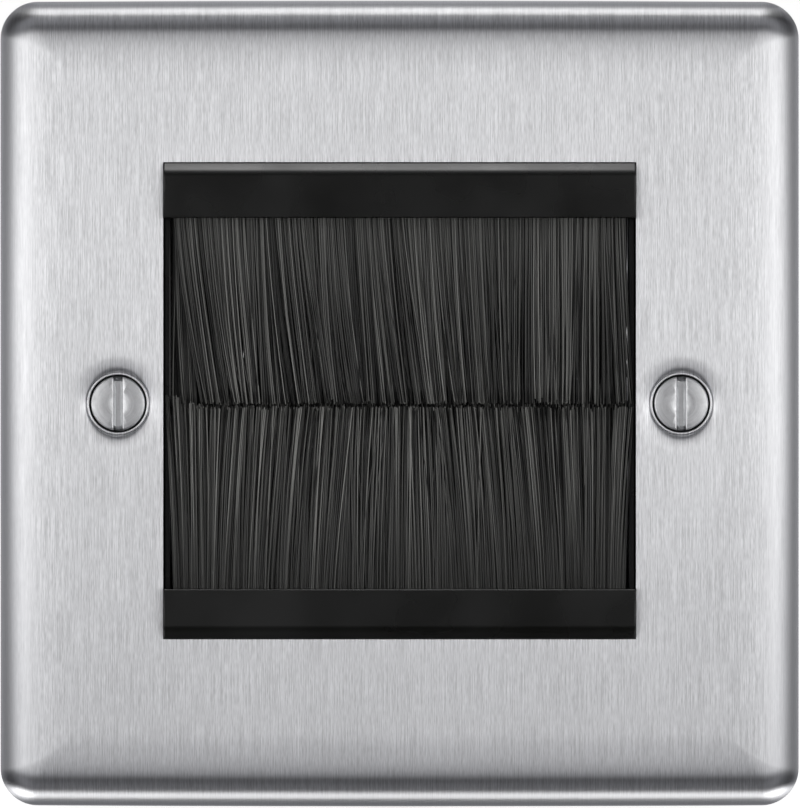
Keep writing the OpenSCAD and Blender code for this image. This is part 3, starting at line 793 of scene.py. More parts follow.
    def add_openings(self, shell: Shell, outer_rim: np.ndarray, inner_rim: np.ndarray) -> None:
        """Adds the flats round the aperture, its broken and cut edges, and the lips of both screw holes.

        Args:
            shell: The shell that they go into.
            outer_rim: Loop where the roll ends on the face.
            inner_rim: Loop where the sheet's inner side turns flat.
        """
        edge = self.cut_edge
        columns = 144
        dishes = {side: self.dish(side, columns) for side in (1, -1)}
        for side, (points, _) in dishes.items():
            shell.add_grid(points, wrap_columns=True)
        loop = []
        low, high, ax = self.aperture_low, self.aperture_high, self.aperture_x
        for side in (1, -1):
            points, rim = dishes[side]
            angle = np.arange(columns) * 2 * np.pi / columns
            inside = rim < self.dish_r - 1e-9
            shut = points[-1]
            order = np.argsort(np.where(inside, 1e9, (angle + np.pi) % (2 * np.pi)))
            arc = shut[order[:int((~inside).sum())]]
            cut = shut[inside]
            cut = cut[np.argsort(cut[:, 2])]
            if side < 0:
                arc = arc[::-1]
            loop.append((arc, cut))
        (right_arc, right_cut), (left_arc, left_cut) = loop
        right_arc = right_arc[np.argsort(np.arctan2(right_arc[:, 2], right_arc[:, 0] - self.screw_x))]
        left_arc = left_arc[np.argsort(np.arctan2(-left_arc[:, 2], -(left_arc[:, 0] + self.screw_x)))]
        y = -self.depth
        span = 24
        x_out, low_out, high_out = ax + edge, low - edge, high + edge
        top = np.stack([np.linspace(x_out, -x_out, span), np.full(span, y), np.full(span, high_out)], axis=-1)
        bottom = np.stack([np.linspace(-x_out, x_out, span), np.full(span, y), np.full(span, low_out)], axis=-1)
        up_right = np.stack([np.full(8, x_out), np.full(8, y),
                             np.linspace(right_arc[-1, 2], high_out, 10)[1:-1]], axis=-1)
        down_right = np.stack([np.full(8, x_out), np.full(8, y),
                               np.linspace(low_out, right_arc[0, 2], 10)[1:-1]], axis=-1)
        mirror = np.array([-1.0, 1.0, 1.0])
        flat_loop = np.vstack([right_arc, up_right, top, (up_right * mirror)[::-1], left_arc,
                               (down_right * mirror)[::-1], bottom, down_right])
        shell.add_flat([outer_rim, flat_loop])

        cut_loop = np.vstack([right_cut, right_arc[-1:], up_right, top, (up_right * mirror)[::-1], left_arc[:1],
                              left_cut[::-1], left_arc[-1:], (down_right * mirror)[::-1], bottom, down_right,
                              right_arc[:1]])
        toward_x = np.clip(cut_loop[:, 0], -ax, ax)
        toward_z = np.clip(cut_loop[:, 2], low, high)
        q = np.linspace(0, np.pi / 2, 5)[:, None]
        rounded = np.stack([
            cut_loop[:, 0] + (toward_x - cut_loop[:, 0]) * np.sin(q),
            cut_loop[:, 1] + edge * (1 - np.cos(q)),
            cut_loop[:, 2] + (toward_z - cut_loop[:, 2]) * np.sin(q)], axis=-1)
        shell.add_grid(rounded, wrap_columns=True)

        under = self.depth - self.sheet
        back = rounded[-1].copy()
        lip_r = self.hole_r + self.sheet
        start_y = rounded[-1][:, 1]
        back[:, 1] = np.maximum(-under, start_y + 0.3 * MM)
        shell.add_grid(np.stack([rounded[-1], back]), wrap_columns=True)

        back_flat = back.copy()
        shell_loops = [inner_rim, back_flat]
        turn_r = lip_r + 0.3 * MM
        ring_y = -under
        for side in (1, -1):
            angle = np.arange(columns) * 2 * np.pi / columns
            profile = np.array([[self.hole_r, -self.lip_end], [lip_r, -self.lip_end],
                                [lip_r, -(under - 0.3 * MM)], [lip_r + 0.09 * MM, -(under - 0.09 * MM)],
                                [turn_r, ring_y]])
            ring = revolve(profile, (0.0, 0.0), columns)
            ring[..., 0] = side * (self.screw_x + ring[..., 0])
            shell.add_grid(ring, wrap_columns=True)
            shell_loops.append(ring[-1])
            del angle
        shell.add_flat(shell_loops)


def carve(piece: bpy.types.Object, cutter: bpy.types.Object) -> None:
    """Cuts one object's shape out of another for good and removes the cutter."""
    knife = piece.modifiers.new("cut", "BOOLEAN")
    knife.object, knife.operation, knife.solver = cutter, "DIFFERENCE", "EXACT"
    graph = bpy.context.evaluated_depsgraph_get()
    done = bpy.data.meshes.new_from_object(piece.evaluated_get(graph))
    piece.modifiers.clear()
    piece.data = done
    bpy.data.objects.remove(cutter)


@dataclass
class FixingScrews:
    """The two captive slotted screws: turned and plated heads, necks and rolled threads."""

    centre_x: float = 30.15 * MM
    head_front: float = -4.7 * MM
    head_back: float = -2.7 * MM
    head_r: float = 2.9 * MM
    slot: float = 1.0 * MM
    slot_depth: float = 0.9 * MM
    neck_r: float = 1.35 * MM
    neck_end: float = 2.95 * MM
    thread_r: float = 1.75 * MM
    thread_deep: float = 0.36 * MM
    pitch: float = 0.6 * MM
    tip: float = 22.3 * MM
    turned: float = 0.0

    def head(self, name: str, side: int) -> bpy.types.Object:
        """Head and neck: a turned profile with its front edge rounded, and the slot cut through it."""
        broken = np.array([[0.17, 0.0], [0.15, 0.006], [0.08, 0.04], [0.03, 0.08], [0.006, 0.12], [0.0, 0.17]]) * MM
        rim = np.stack([self.head_r - broken[:, 0], self.head_front + broken[:, 1]], axis=-1)
        profile = np.vstack([[[1e-9, self.head_front]], [[self.head_r * 0.5, self.head_front]], rim,
                             [[self.head_r, self.head_back]], [[self.neck_r, self.head_back]],
                             [[self.neck_r, self.neck_end]], [[1e-9, self.neck_end]]])
        ring = revolve(profile, (side * self.centre_x, 0.0), 96)
        ring = np.concatenate([ring, ring[:, :1]], axis=1)
        ring[0] = ring[0].mean(axis=0)
        ring[-1] = ring[-1].mean(axis=0)
        turn = np.broadcast_to(np.linspace(0, 2 * np.pi, 97)[None, :] * self.head_r, ring.shape[:2])
        out = np.concatenate([[0.0], np.cumsum(np.hypot(*np.diff(profile, axis=0).T))])
        shell = Shell()
        shell.add_grid(ring, np.stack([np.broadcast_to(out[:, None], turn.shape), turn], axis=-1))
        head = shell.build(name, 35.0)
        w, front, floor = self.slot / 2, -5.2 * MM, self.head_front + self.slot_depth
        lean, brink = 0.03 * MM, self.head_front + 0.035 * MM
        flare = w + (brink - front) * 2.1
        stops = np.array([-4.0, -2.95, -2.4, 2.4, 2.95, 4.0]) * MM
        floors = np.array([floor + 0.5 * MM] * 2 + [floor] * 2 + [floor + 0.5 * MM] * 2)
        xs = np.array([-flare, flare, w, w - lean, w - 0.2 * MM, 0.2 * MM - w, lean - w, -w])
        foot = 0.3 * MM
        bar = np.stack([np.stack([side * self.centre_x + xs,
                                  np.array([front, front, brink, f - foot, f, f, f - foot, brink]),
                                  np.full(8, z)], axis=-1) for z, f in zip(stops, floors)])
        cutter_shell = Shell()
        cutter_shell.add_grid(bar, wrap_columns=True)
        for end in (bar[0], bar[-1]):
            cutter_shell.add_flat([end])
        carve(head, cutter_shell.build(name + "_slot"))
        return head

    def thread(self, side: int) -> np.ndarray:
        """Rolled thread as a function of turn and length.

        The radius falls from the crest to the root and back once a pitch, with flat crests and rounded roots;
        the place on the tooth is the length in pitches less the turn, so the tooth climbs one pitch a turn. It
        fades out at the neck and narrows at the tip.
        """
        turn = np.linspace(0, 2 * np.pi, 40, endpoint=False)[None, :]
        y = np.arange(self.neck_end, self.tip + 1e-9, self.pitch / 7)[:, None]
        y = np.minimum(y, self.tip)
        phase = (y / self.pitch - turn / (2 * np.pi)) % 1.0
        tooth = np.clip(np.abs(phase - 0.5) * 2.35 - 0.12, 0, 1)
        start = np.clip((y - self.neck_end) / (0.5 * MM), 0, 1)
        end = np.clip((self.tip - y) / (0.9 * MM), 0, 1)
        radius = self.thread_r - self.thread_deep * tooth
        radius = self.neck_r + (radius - self.neck_r) * start
        radius = radius * (0.72 + 0.28 * end)
        return np.stack([side * self.centre_x + radius * np.cos(turn), y + 0 * turn, radius * np.sin(turn)], axis=-1)

    def build(self, fx: SharedEffects) -> list[bpy.types.Object]:
        """Makes both screws and dresses them in satin nickel."""
        face = TurnedFace("turned nickel face").make(fx)
        finish = Metal("satin nickel plate", (0.70, 0.69, 0.67), (0.42, 0.41, 0.38), 0.27,
                       (5200.0, 5200.0, 900.0), 0.000003, 0.35).make(fx)
        made = []
        for side, hand in ((-1, "left"), (1, "right")):
            head = self.head(f"{hand}_screw_head", side)
            soften_edges(head, 0.03 * MM, 2, 40.0)
            hold_normals(head)
            rod = self.thread(side)
            caps = [np.broadcast_to(rod[i].mean(axis=0), rod[i].shape)[None] for i in (0, -1)]
            shell = Shell()
            shell.add_grid(np.concatenate([caps[0], rod, caps[1]]), wrap_columns=True)
            shank = shell.build(f"{hand}_screw_thread", 80.0)
            for piece in (head, shank):
                piece.data.materials.clear()
                piece.data.materials.append(face if piece is head else finish)
                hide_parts(f"{hand}_fixing_screw")
                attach(piece, "root")
                made.append(piece)
        return made


class Brush(Enum):
    """The two brushes of the insert: +1 hangs down and -1 stands up."""

    UPPER = 1
    LOWER = -1


@dataclass
class Bristles:
    """One brush's filaments, in three layers from front to back, as a field of fine tubes."""

    brush: Brush
    half_w: float = 24.25 * MM
    mouth: float = 21.0 * MM
    meet: float = -0.2 * MM
    front: float = -3.15 * MM
    thick: float = 2.8 * MM
    radius: float = 0.1 * MM
    counts: tuple[int, ...] = (760, 1150, 1150)
    sides: int = 5
    seed: int = 7

    UPPER_LEAN: ClassVar[tuple[tuple[float, ...], tuple[float, ...]]] = (
        (-1.0, -0.93, -0.8, -0.65, -0.45, -0.2, 0.0, 0.25, 0.45, 0.65, 0.85, 1.0),
        (2.9, 2.7, 2.0, 1.5, 2.4, 1.5, 2.3, 1.2, 0.8, -0.5, 0.1, 0.2))
    STOPS: ClassVar[tuple[float, ...]] = (0.0, 0.035, 0.09, 0.2, 0.38, 0.57, 0.76, 0.92, 1.0)
    # Painted light along the filaments: for each stop along a filament, a brightness factor and the spread of tone
    # between filaments. The factor lifts the roots and tips, where the bars and the meeting line shade them, and is
    # higher towards the top of each brush.
    PAINTED_LIGHT_ALONG: ClassVar[dict[Brush, tuple[tuple[float, float, float], ...]]] = {
        Brush.UPPER: ((0.0, 2.6, 0.6), (0.035, 2.1, 0.6), (0.09, 1.65, 0.65), (0.2, 1.5, 0.7), (0.38, 1.25, 0.9),
                      (0.57, 1.05, 1.2), (0.76, 0.97, 1.6), (0.92, 0.95, 1.8), (1.0, 1.2, 1.8)),
        Brush.LOWER: ((0.0, 1.2, 0.45), (0.035, 0.9, 0.45), (0.09, 0.78, 0.45), (0.2, 0.82, 0.5),
                      (0.38, 1.1, 0.75), (0.57, 1.4, 1.0), (0.76, 1.55, 1.15), (0.92, 1.6, 1.3), (1.0, 1.85, 1.3))}

    @staticmethod
    def slow(x: np.ndarray, rng: np.random.Generator, waves: int, reach: float) -> np.ndarray:
        """A smooth random field along x: a sum of cosines with random phases, of about unit size."""
        total = np.zeros_like(x)
        for _ in range(waves):
            total += np.cos(x / reach * rng.uniform(0.6, 1.8) * 2 * np.pi + rng.uniform(0, 2 * np.pi))
        return total / math.sqrt(waves / 2)

    def lean(self, u: np.ndarray, layer: int) -> np.ndarray:
        """Sideways travel of the tips, in metres, for roots at u from -1 to 1 in a layer (0 is the front)."""
        if self.brush is Brush.UPPER:
            field_x = np.interp(u, *self.UPPER_LEAN) * (1.0, 0.55, 0.15)[layer]
            field_x += (0.0, -1.0, -0.4)[layer] * np.exp(-((u + 1.0) / 0.07) ** 2)
            field_x += (0.8, 0.5, 0.3)[layer] * np.exp(-((u - 1.0) / 0.08) ** 2)
        else:
            field_x = -1.5 * np.sin(np.pi * u) * (1 - 0.3 * layer) + (1.3, 0.6, 0.3)[layer] * u ** 7
        return field_x * MM

    def layer(self, layer: int, rng: np.random.Generator) -> tuple[np.ndarray, np.ndarray]:
        """Centre lines of one layer's filaments.

        Each starts at the channel's mouth with the others of its clump, leans by the field at its place plus its
        clump's and its own share, bows a little on the way, and ends near the line where the brushes meet.

        Returns:
            Points of shape (N, stops, 3) and tones of shape (N, stops), with painted light and shade in them.
        """
        n = self.counts[layer]
        sign = self.brush.value
        wide = self.half_w + (0.0, 0.1, 0.16)[layer] * MM
        root_x = np.clip((np.arange(n) + rng.uniform(-0.5, 0.5, n)) / n * 2 * wide - wide, -wide, wide)
        clump = np.floor((root_x + self.half_w) / (0.9 * MM)).astype(int)
        clumps = int(clump.max()) + 1
        middle = (clump + 0.5) * 0.9 * MM - self.half_w
        depth = rng.uniform(0, 1, n)
        slab = self.thick / 3
        root_y = self.front + slab * (layer + 0.08 + 0.84 * depth)
        u = np.clip(root_x / self.half_w, -1, 1)
        pull = rng.uniform(0.0, 0.5, clumps)[clump] * (1.0, 0.8, 0.15)[layer]
        stray = rng.normal(0, 1, n)
        travel = self.lean(u, layer) + (0.25, 0.3, 0.1)[layer] * MM * self.slow(root_x, rng, 5, 6 * MM)
        travel += rng.normal(0, 0.13 * MM, clumps)[clump] * (1.0, 1.0, 0.3)[layer]
        travel += -(root_x - middle) * pull + stray * 0.2 * MM
        wild = rng.uniform(0, 1, n) < (0.05, 0.03, 0.0)[layer]
        travel = np.where(wild, travel + rng.normal(0, 1.3 * MM, n), travel)
        if layer == 2:
            travel *= np.clip((wide - np.abs(root_x)) / (1.2 * MM), 0, 1)
        reach = (25.1, 24.36, 24.41)[layer] * MM
        tip_x = np.clip(root_x + travel, -reach, reach)
        outside = np.abs(tip_x) > 24.35 * MM
        root_y = np.where(outside & (layer == 0), self.front + slab * (0.05 + 0.5 * depth), root_y)
        ragged = 0.16 * MM * self.slow(root_x, rng, 6, 1.7 * MM) + rng.normal(0, 0.16 * MM, n)
        ragged += rng.normal(0, 0.12 * MM, clumps)[clump]
        short = (0.1, -0.25, -0.45)[layer] if self.brush is Brush.UPPER else (0.1, -0.2, -0.5)[layer]
        tip_z = self.meet + sign * (short * MM + np.abs(ragged) * 0.9)
        if self.brush is Brush.LOWER and layer == 0:
            tip_z += 1.25 * MM * np.exp(-((u + 1) / 0.09) ** 4)
        root_z = np.full(n, sign * self.mouth)
        t = np.array(self.STOPS)[None, :]
        bow = rng.normal(0, 0.12 * MM, n)[:, None] + 0.1 * MM * self.slow(root_x, rng, 4, 9 * MM)[:, None]
        x = root_x[:, None] + (tip_x - root_x)[:, None] * (0.35 * t + 0.65 * t ** 1.6)
        x = x + bow * np.sin(np.pi * t) * t
        tip_y = root_y + rng.normal(0, 0.12 * MM, n)
        y = root_y[:, None] + (tip_y - root_y)[:, None] * t + rng.normal(0, 0.05 * MM, n)[:, None] * np.sin(np.pi * t)
        y = np.clip(y, self.front + self.radius, self.front + self.thick - self.radius * 1.7)
        z = root_z[:, None] + (tip_z - root_z)[:, None] * t
        own = np.clip(rng.beta(0.9, 2.6, n) + rng.normal(0, 0.03, clumps)[clump], 0.0, 1)
        # Painted side light: the lower brush's filaments are made paler towards the left and darker towards the right.
        if self.brush is Brush.LOWER:
            own = own * np.interp(u, (-1.0, -0.5, 0.1, 1.0), (1.25, 1.2, 0.9, 0.92))
        # worn here is not wear: it is the painted light factor from the table above, and vivid is the spread of tone.
        stops, worn, vivid = np.array(self.PAINTED_LIGHT_ALONG[self.brush]).T
        mean = own.mean()
        # Painted shade: the last factor makes the middle and rear layers darker than the front one.
        tone = (mean + (own[:, None] - mean) * vivid) * worn * (1.0, 0.62, 0.22)[layer]
        return np.stack([x, y, z], axis=-1), np.clip(tone, 0.0, 1.0)

    def tubes(self, name: str, lines: np.ndarray, tone: np.ndarray, rng: np.random.Generator,
              stout: float) -> bpy.types.Object:
        """Sweeps a small ring along every centre line at once: N tubes by rings by sides.

        The ring lies level, which is across filaments that run nearly upright, and its size falls to three
        quarters at the tip.
        """
        n, rings = lines.shape[:2]
        angle = np.linspace(0, 2 * np.pi, self.sides, endpoint=False)[None, None, :] \
            + rng.uniform(0, 2 * np.pi, n)[:, None, None]
        size = self.radius * stout * rng.uniform(0.85, 1.1, n)[:, None, None] \
            * np.interp(self.STOPS, (0, 1), (1.0, 0.85))[None, :, None]
        points = np.stack([lines[..., 0:1] + size * np.cos(angle), lines[..., 1:2] + size * np.sin(angle),
                           np.broadcast_to(lines[..., 2:3], (n, rings, self.sides))], axis=-1)
        index = np.arange(n * rings * self.sides).reshape(n, rings, self.sides)
        nxt = np.roll(index, -1, axis=2)
        quads = np.stack([index[:, :-1], nxt[:, :-1], nxt[:, 1:], index[:, 1:]], axis=-1)
        if self.brush is Brush.UPPER:
            quads = quads[..., ::-1]
        tips = index[:, -1] if self.brush is Brush.LOWER else index[:, -1, ::-1]
        roots = index[:, 0, ::-1] if self.brush is Brush.LOWER else index[:, 0]
        mesh = bpy.data.meshes.new(name)
        mesh.from_pydata(points.reshape(-1, 3).tolist(), [],
                         quads.reshape(-1, 4).tolist() + tips.tolist() + roots.tolist())
        mesh.polygons.foreach_set("use_smooth", np.ones(len(mesh.polygons), dtype=bool))
        shade = mesh.attributes.new("tone", "FLOAT", "POINT")
        shade.data.foreach_set("value", np.repeat(tone.ravel(), self.sides).astype(np.float32))
        mesh.update()
        piece = bpy.data.objects.new(name, mesh)
        bpy.context.scene.collection.objects.link(piece)
        return piece

    def build(self, fx: SharedEffects, finish: bpy.types.Material) -> list[bpy.types.Object]:
        """Makes the three layers of one brush."""
        rng = np.random.default_rng(self.seed)
        made = []
        word = self.brush.name.lower()
        for layer, place in enumerate(("front", "middle", "rear")):
            lines, tone = self.layer(layer, rng)
            piece = self.tubes(f"{word}_brush_{place}_filaments", lines, tone, rng, (0.68, 0.85, 1.5)[layer])
            piece.data.materials.append(finish)
            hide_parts(f"{word}_bristles")
            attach(piece, "root")
            made.append(piece)
        return made


@dataclass
class SoftenedNode:
    """A node of the frame whose shape is right: it gets broken edges and a finish."""

    node: str
    name: str
    slot: str
    width: float
    steps: int = 2
    above: float = 30.0

    def build(self, finish: bpy.types.Material) -> bpy.types.Object:
        """Makes the copy that stands for the node."""
        piece = merged_copy(self.node, self.name)
        if self.width > 0:
            soften_edges(piece, self.width, self.steps, self.above)
        hold_normals(piece)
        piece.data.materials.append(finish)
        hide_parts(self.node)
        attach(piece, "root")
        return piece


class CarriedParts:
    """Frame, gasket, insert and earth parts: softened copies of their nodes, each in its own finish."""

    def __init__(self, fx: SharedEffects) -> None:
        """Makes the finishes."""
        grey = (0.42, 0.42, 0.42)
        self.finish = {
            "frame": Moulding("grained frame plastic", (0.034, 0.034, 0.037), (0.05, 0.05, 0.053), 0.5, 0.4,
                              3500.0, 0.000014, 0.35).make(fx),
            "foam": Moulding("closed-cell foam", (0.028, 0.028, 0.029), (0.045, 0.045, 0.046), 0.85, 0.2,
                             2200.0, 0.00006, 0.3).make(fx),
            "housing": Moulding("satin black moulding", (0.0024, 0.0024, 0.0017), (0.0034, 0.0034, 0.0024), 0.28,
                                0.74, 5200.0, 0.000003, 0.07).make(fx),
            "retainer": Moulding("black moulding", (0.018, 0.018, 0.020), (0.03, 0.03, 0.032), 0.48, 0.4,
                                 4200.0, 0.00001, 0.3).make(fx),
            "nylon": Moulding("natural nylon", (0.76, 0.74, 0.66), (0.62, 0.60, 0.52), 0.4, 0.5,
                              1800.0, 0.00001, 0.2).make(fx),
            "channel": Metal("rolled aluminium strip", (0.66, 0.67, 0.69), grey, 0.32, (60.0, 4200.0, 4200.0)).make(fx),
            "wire": Metal("drawn steel wire", (0.52, 0.52, 0.52), (0.3, 0.29, 0.28), 0.3, (80.0, 5000.0, 5000.0)).make(fx),
            "stud": Metal("welded stud steel", (0.56, 0.56, 0.56), (0.3, 0.27, 0.25), 0.38, (2500.0, 700.0, 2500.0)).make(fx),
            "spring": Metal("phosphated spring steel", (0.16, 0.16, 0.17), (0.06, 0.06, 0.065), 0.5).make(fx),
            "tag": Metal("rolled brass strip", (0.72, 0.54, 0.27), (0.42, 0.29, 0.14), 0.36, (3600.0, 120.0, 3600.0)).make(fx),
            "terminal": Metal("sawn brass", (0.76, 0.58, 0.28), (0.5, 0.35, 0.16), 0.3, (200.0, 3600.0, 3600.0)).make(fx),
            "zinc": Metal("passivated zinc", (0.64, 0.61, 0.52), (0.5, 0.45, 0.33), 0.28, (3200.0, 500.0, 3200.0)).make(fx),
        }

    def build(self) -> list[bpy.types.Object]:
        """Makes every softened copy."""
        rows = (
            ("support_frame", "support_frame_moulding", "frame_plastic", 0.13, "frame"),
            ("wall_gasket", "foam_gasket", "gasket_foam", 0.22, "foam"),
            ("brush_housing", "insert_housing", "housing_plastic", 0.12, "housing"),
            ("brush_retainer", "insert_retainer", "retainer_plastic", 0.12, "retainer"),
            ("upper_channel", "upper_bristle_channel", "channel_metal", 0.06, "channel"),
            ("lower_channel", "lower_bristle_channel", "channel_metal", 0.06, "channel"),
            ("upper_core_wire", "upper_folding_wire", "wire_steel", 0.08, "wire"),
            ("lower_core_wire", "lower_folding_wire", "wire_steel", 0.08, "wire"),
            ("weld_studs", "welded_studs", "stud_steel", 0.1, "stud"),
            ("stud_clips", "push_on_clips", "spring_steel", 0.05, "spring"),
            ("left_screw_washer", "left_captive_washer", "washer_nylon", 0.1, "nylon"),
            ("right_screw_washer", "right_captive_washer", "washer_nylon", 0.1, "nylon"),
            ("earth_tag", "earth_strip", "tag_brass", 0.08, "tag"),
            ("earth_terminal", "earth_block", "terminal_brass", 0.15, "terminal"),
            ("earth_screw", "earth_clamp_screw", "terminal_screw", 0.1, "zinc"),
        )
        return [SoftenedNode(node, name, slot, width * MM).build(self.finish[finish])
                for node, name, slot, width, finish in rows]


# ---------------------------------------------------------------------------------------------- studio
TENT_ROUND: tuple[tuple[float, float], ...] = (
    (0, 0.07), (11, 0.07), (17, 1.62), (24, 2.65), (36, 2.5), (46, 1.95), (56, 1.6), (68, 1.38), (84, 1.22),
    (94, 0.15), (113, 0.15), (124, 0.4), (140, 0.7), (180, 0.6))
TENT_FADE: tuple[tuple[float, float], ...] = (
    (-180, 0.6), (-165, 0.6), (-150, 0.3), (-118, 0.22), (-110, 0.0), (-66, 0.0), (-62, 0.05), (-58, 0.07),
    (-49, 0.07), (-42.8, 0.045), (-34, 0.0), (-27.8, 0.02), (-23.6, 0.115), (-20.8, 0.345), (-17.4, 0.48),
    (-11.6, 0.452), (-9.5, 0.437), (-6.5, 0.455), (-4.9, 0.585), (-4.3, 0.66), (-3.8, 0.73), (-2, 0.86),
    (-1, 0.905), (0, 0.91), (1, 0.925), (2, 0.97), (3, 1.01), (3.9, 1.05), (4.4, 1.0), (4.9, 0.945), (6.2, 0.84),
    (8.5, 0.80), (9.8, 0.77), (11.1, 0.7), (12.9, 0.66), (15.2, 0.605), (17, 0.60), (18.7, 0.61),
    (20, 0.6), (21.9, 0.36), (24, 0.125), (26.1, 0.05), (30.3, 0.0), (37, 0.0), (43.4, 0.05), (52.7, 0.06),
    (59, 0.12), (62, 0.14), (66, 0.0), (110, 0.0), (118, 0.24), (150, 0.35), (165, 0.7), (180, 0.6))
TENT_WIDE: tuple[tuple[float, float], ...] = (
    (-90, 0.0), (-60, 0.1), (-40, 0.8), (-25, 0.8), (-12, 0.75), (-6.5, 0.68), (-2, 0.86), (3, 1.0), (8, 0.9),
    (15, 0.85), (30, 0.95), (40, 0.85), (60, 0.1), (90, 0.0))
TENT_ABOVE: tuple[tuple[float, float], ...] = (
    (27, 0.0), (33, 0.03), (43, 0.09), (52, 0.15), (59, 0.22), (64, 0.32), (68, 0.5), (72, 0.8), (79, 1.33), (86, 1.38), (92, 1.38), (98, 1.25), (106, 0.72),
    (112, 0.38), (120, 0.14), (150, 0.1), (160, 0.0))
TENT_BELOW: tuple[tuple[float, float], ...] = (
    (66, 0.0), (72, 0.12), (79, 0.68), (86, 1.15), (92, 1.45), (98, 1.75), (106, 1.3), (112, 0.75),
    (120, 0.3), (150, 0.12), (160, 0.0))


@dataclass
class Studio:
    """Camera, pale floor, soft boxes, light tent and a white background."""

    stand_off: float = 0.9
    face_y: float = -0.005
    pixel: float = 0.107 * MM
    off_x: float = 0.4
    off_z: float = -0.45
    floor_z: float = -0.0438

    def camera(self) -> None:
        """A long lens square to the plate, at the photograph's framing."""
        data = bpy.data.cameras.new("camera")
        data.sensor_width, data.sensor_fit = 36.0, "AUTO"
        data.lens = data.sensor_width * self.stand_off / (max(IMAGE_W, IMAGE_H) * self.pixel)
        data.clip_start, data.clip_end = 0.05, 20.0
        camera = bpy.data.objects.new("camera", data)
        camera.location = (self.off_x * self.pixel, self.face_y - self.stand_off, self.off_z * self.pixel)
        camera.rotation_euler = (math.pi / 2, 0.0, 0.0)
        bpy.context.scene.collection.objects.link(camera)
        bpy.context.scene.camera = camera

    def lamp(self, name: str, azimuth: float, elevation: float, distance: float, size: tuple[float, float],
             radiance: float) -> None:
        """A soft box that looks at the plate's middle.

        Args:
            name: Name of the lamp.
            azimuth: Degrees to the right of the camera's direction as seen from the plate.
            elevation: Degrees above it.
            distance: Metres from the plate.
            size: Width and height in metres.
            radiance: Brightness of its face, where 1 is white.
        """
        data = bpy.data.lights.new(name, "AREA")
        data.shape, data.size, data.size_y = "RECTANGLE", size[0], size[1]
        data.energy = radiance * math.pi * size[0] * size[1]
        lamp = bpy.data.objects.new(name, data)
        a, e = math.radians(azimuth), math.radians(elevation)
        away = np.array([math.sin(a) * math.cos(e), -math.cos(a) * math.cos(e), math.sin(e)])
        lamp.location = tuple(away * distance)
        lamp.rotation_mode = "QUATERNION"
        lamp.rotation_quaternion = Vector(away).to_track_quat("Z", "Y")
        lamp.visible_camera = False
        lamp.visible_glossy = False
        bpy.context.scene.collection.objects.link(lamp)

    @staticmethod
    def tent_light(away: np.ndarray) -> np.ndarray:
        """Brightness of the light tent in a direction, where 1 is white.

        Round the upright axis, the tent is dark where the camera looks through it, bright at both sides and dim
        behind. Towards the top and the bottom it fades to dark by a table of the turn upwards, and at the sides
        by a gentler one. A narrow strip straight above shines, and one on each side of straight below.

        Args:
            away: Unit directions from the plate, shape (..., 3).

        Returns:
            Brightness, shape (...).
        """
        azimuth = np.degrees(np.arctan2(away[..., 0], -away[..., 1]))
        turn = np.degrees(np.arctan2(away[..., 2], -away[..., 1]))
        aside = np.degrees(np.arcsin(np.clip(away[..., 0], -1, 1)))
        tall = np.degrees(np.arcsin(np.clip(away[..., 2], -1, 1)))
        round_it = np.interp(np.abs(azimuth), *zip(*TENT_ROUND))
        share = np.interp(np.abs(azimuth), (29, 38, 52, 64), (0.0, 0.24, 0.24, 0.0))
        fade = np.interp(turn, *zip(*TENT_FADE)) * (1 - share) + np.interp(tall, *zip(*TENT_WIDE)) * share
        above = 3.45 * np.interp(np.abs(aside), (4, 7), (1.0, 0.0)) * np.interp(turn, *zip(*TENT_ABOVE))
        below = 2.9 * np.interp(np.abs(aside), (15, 19, 40, 48), (0.0, 1.0, 1.0, 0.0)) \
            * np.interp(-turn, *zip(*TENT_BELOW))
        return round_it * fade + np.where(turn > 0, above, below)

    def tent(self, reach: float = 0.7) -> None:
        """A light tent round the plate, which only reflections see, and which the camera looks through."""
        azimuth = np.radians(np.linspace(-180, 180, 145))[None, :]
        tall = np.radians(np.linspace(-90, 90, 91))[:, None]
        away = np.stack([np.sin(azimuth) * np.cos(tall), -np.cos(azimuth) * np.cos(tall),
                         np.sin(tall) + 0 * azimuth], axis=-1)
        rows, columns = away.shape[:2]
        index = np.arange(rows * columns).reshape(rows, columns)
        quads = np.stack([index[:-1, :-1], index[:-1, 1:], index[1:, 1:], index[1:, :-1]], axis=-1)
        mesh = bpy.data.meshes.new("light_tent")
        mesh.from_pydata((away * reach).reshape(-1, 3).tolist(), [], quads.reshape(-1, 4).tolist())
        glow = mesh.attributes.new("glow", "FLOAT", "POINT")
        glow.data.foreach_set("value", self.tent_light(away).astype(np.float32).ravel())
        tent = bpy.data.objects.new("light_tent", mesh)
        bpy.context.scene.collection.objects.link(tent)
        material = bpy.data.materials.new("light tent cloth")
        material.use_nodes = True
        material.node_tree.nodes.clear()
        n = Nodes(material.node_tree)
        cloth = n.add("ShaderNodeEmission")
        lit = n.add("ShaderNodeAttribute", attribute_name="glow").outputs["Fac"]
        n.join(lit, cloth.inputs["Strength"])
        n.join(n.blend(n.span(lit, 0.1, 1.4, 0.0, 1.0), (0.96, 0.97, 1.04), (1.0, 0.998, 0.996)), cloth.inputs["Color"])
        n.join(cloth.outputs[0], n.add("ShaderNodeOutputMaterial").inputs["Surface"])
        mesh.materials.append(material)
        tent.visible_camera = False
        tent.visible_diffuse = False
        tent.visible_shadow = False
        tent.visible_transmission = False

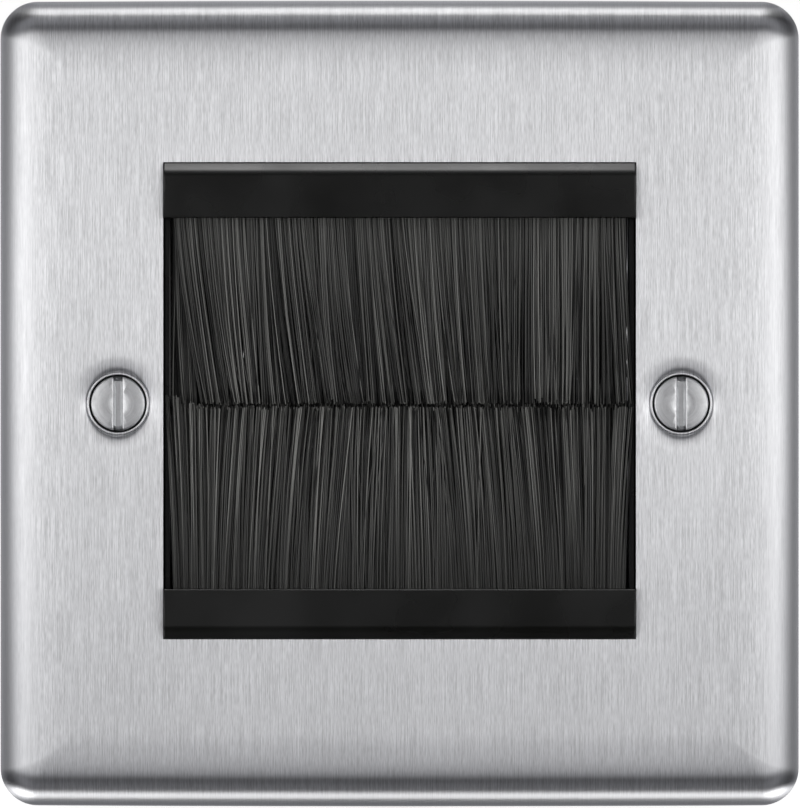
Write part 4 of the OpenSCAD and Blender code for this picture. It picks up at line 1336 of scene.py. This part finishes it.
    def floor(self) -> None:
        """A pale floor that is white to the camera and keeps the object's shadow."""
        n_x = 2
        x = np.linspace(-3, 3, n_x)
        mesh = bpy.data.meshes.new("floor")
        mesh.from_pydata([(a, b, self.floor_z) for b in x.tolist() for a in x.tolist()], [], [(0, 1, 3, 2)])
        floor = bpy.data.objects.new("floor", mesh)
        bpy.context.scene.collection.objects.link(floor)
        material, n, shader = new_material("pale floor")
        shader.inputs["Base Color"].default_value = (0.86, 0.86, 0.86, 1.0)
        shader.inputs["Roughness"].default_value = 0.9
        shader.inputs["Specular IOR Level"].default_value = 0.1
        paths = n.add("ShaderNodeLightPath")
        seen = n.math("MAXIMUM", paths.outputs["Is Camera Ray"],
                      n.math("MAXIMUM", paths.outputs["Is Glossy Ray"], paths.outputs["Is Transmission Ray"]))
        shader.inputs["Emission Color"].default_value = (1.0, 1.0, 1.0, 1.0)
        n.join(n.math("MULTIPLY", seen, 0.6), shader.inputs["Emission Strength"])
        mesh.materials.append(material)
        floor.visible_glossy = False

    def world(self, level: float = 0.55) -> None:
        """White to the camera and to reflections, and an even grey level for everything else."""
        world = bpy.data.worlds.new("room")
        bpy.context.scene.world = world
        world.use_nodes = True
        n = Nodes(world.node_tree)
        back = world.node_tree.nodes["Background"]
        paths = n.add("ShaderNodeLightPath")
        seen = n.math("MAXIMUM", paths.outputs["Is Camera Ray"],
                      n.math("MAXIMUM", paths.outputs["Is Glossy Ray"], paths.outputs["Is Transmission Ray"]))
        back.inputs["Color"].default_value = (1.0, 1.0, 1.0, 1.0)
        n.join(n.span(seen, 0.0, 1.0, level, 1.0), back.inputs["Strength"])

    def build(self) -> None:
        """Sets the whole stage."""
        self.camera()
        self.world()
        self.floor()
        self.lamp("left soft box", -36, 4, 1.0, (0.42, 0.7), 1.5)
        self.lamp("right soft box", 36, 4, 1.0, (0.42, 0.7), 1.5)
        self.lamp("overhead strip", 0, 90, 0.55, (0.22, 0.12), 4.0)
        self.tent()
        scene = bpy.context.scene
        scene.view_settings.view_transform = "Standard"


def main() -> None:
    """Builds every part in order and reports it."""
    logging.basicConfig(level=logging.INFO, format="%(message)s")
    FRAME.update(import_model())
    Studio().build()
    fx = SharedEffects()
    made = [FacePlate().build(fx)]
    made += FixingScrews().build(fx)
    nylon = Bristle("black nylon filament").make(fx)
    for brush, mouth, seed in ((Brush.UPPER, 21.0, 7), (Brush.LOWER, 20.45, 23)):
        made += Bristles(brush, mouth=mouth * MM, seed=seed).build(fx, nylon)
    made += CarriedParts(fx).build()
    graph = bpy.context.evaluated_depsgraph_get()
    for piece in made:
        mesh = piece.evaluated_get(graph).data
        LOG.info("%s: %d faces", piece.name, len(mesh.polygons))


if __name__ == "__main__":
    main()
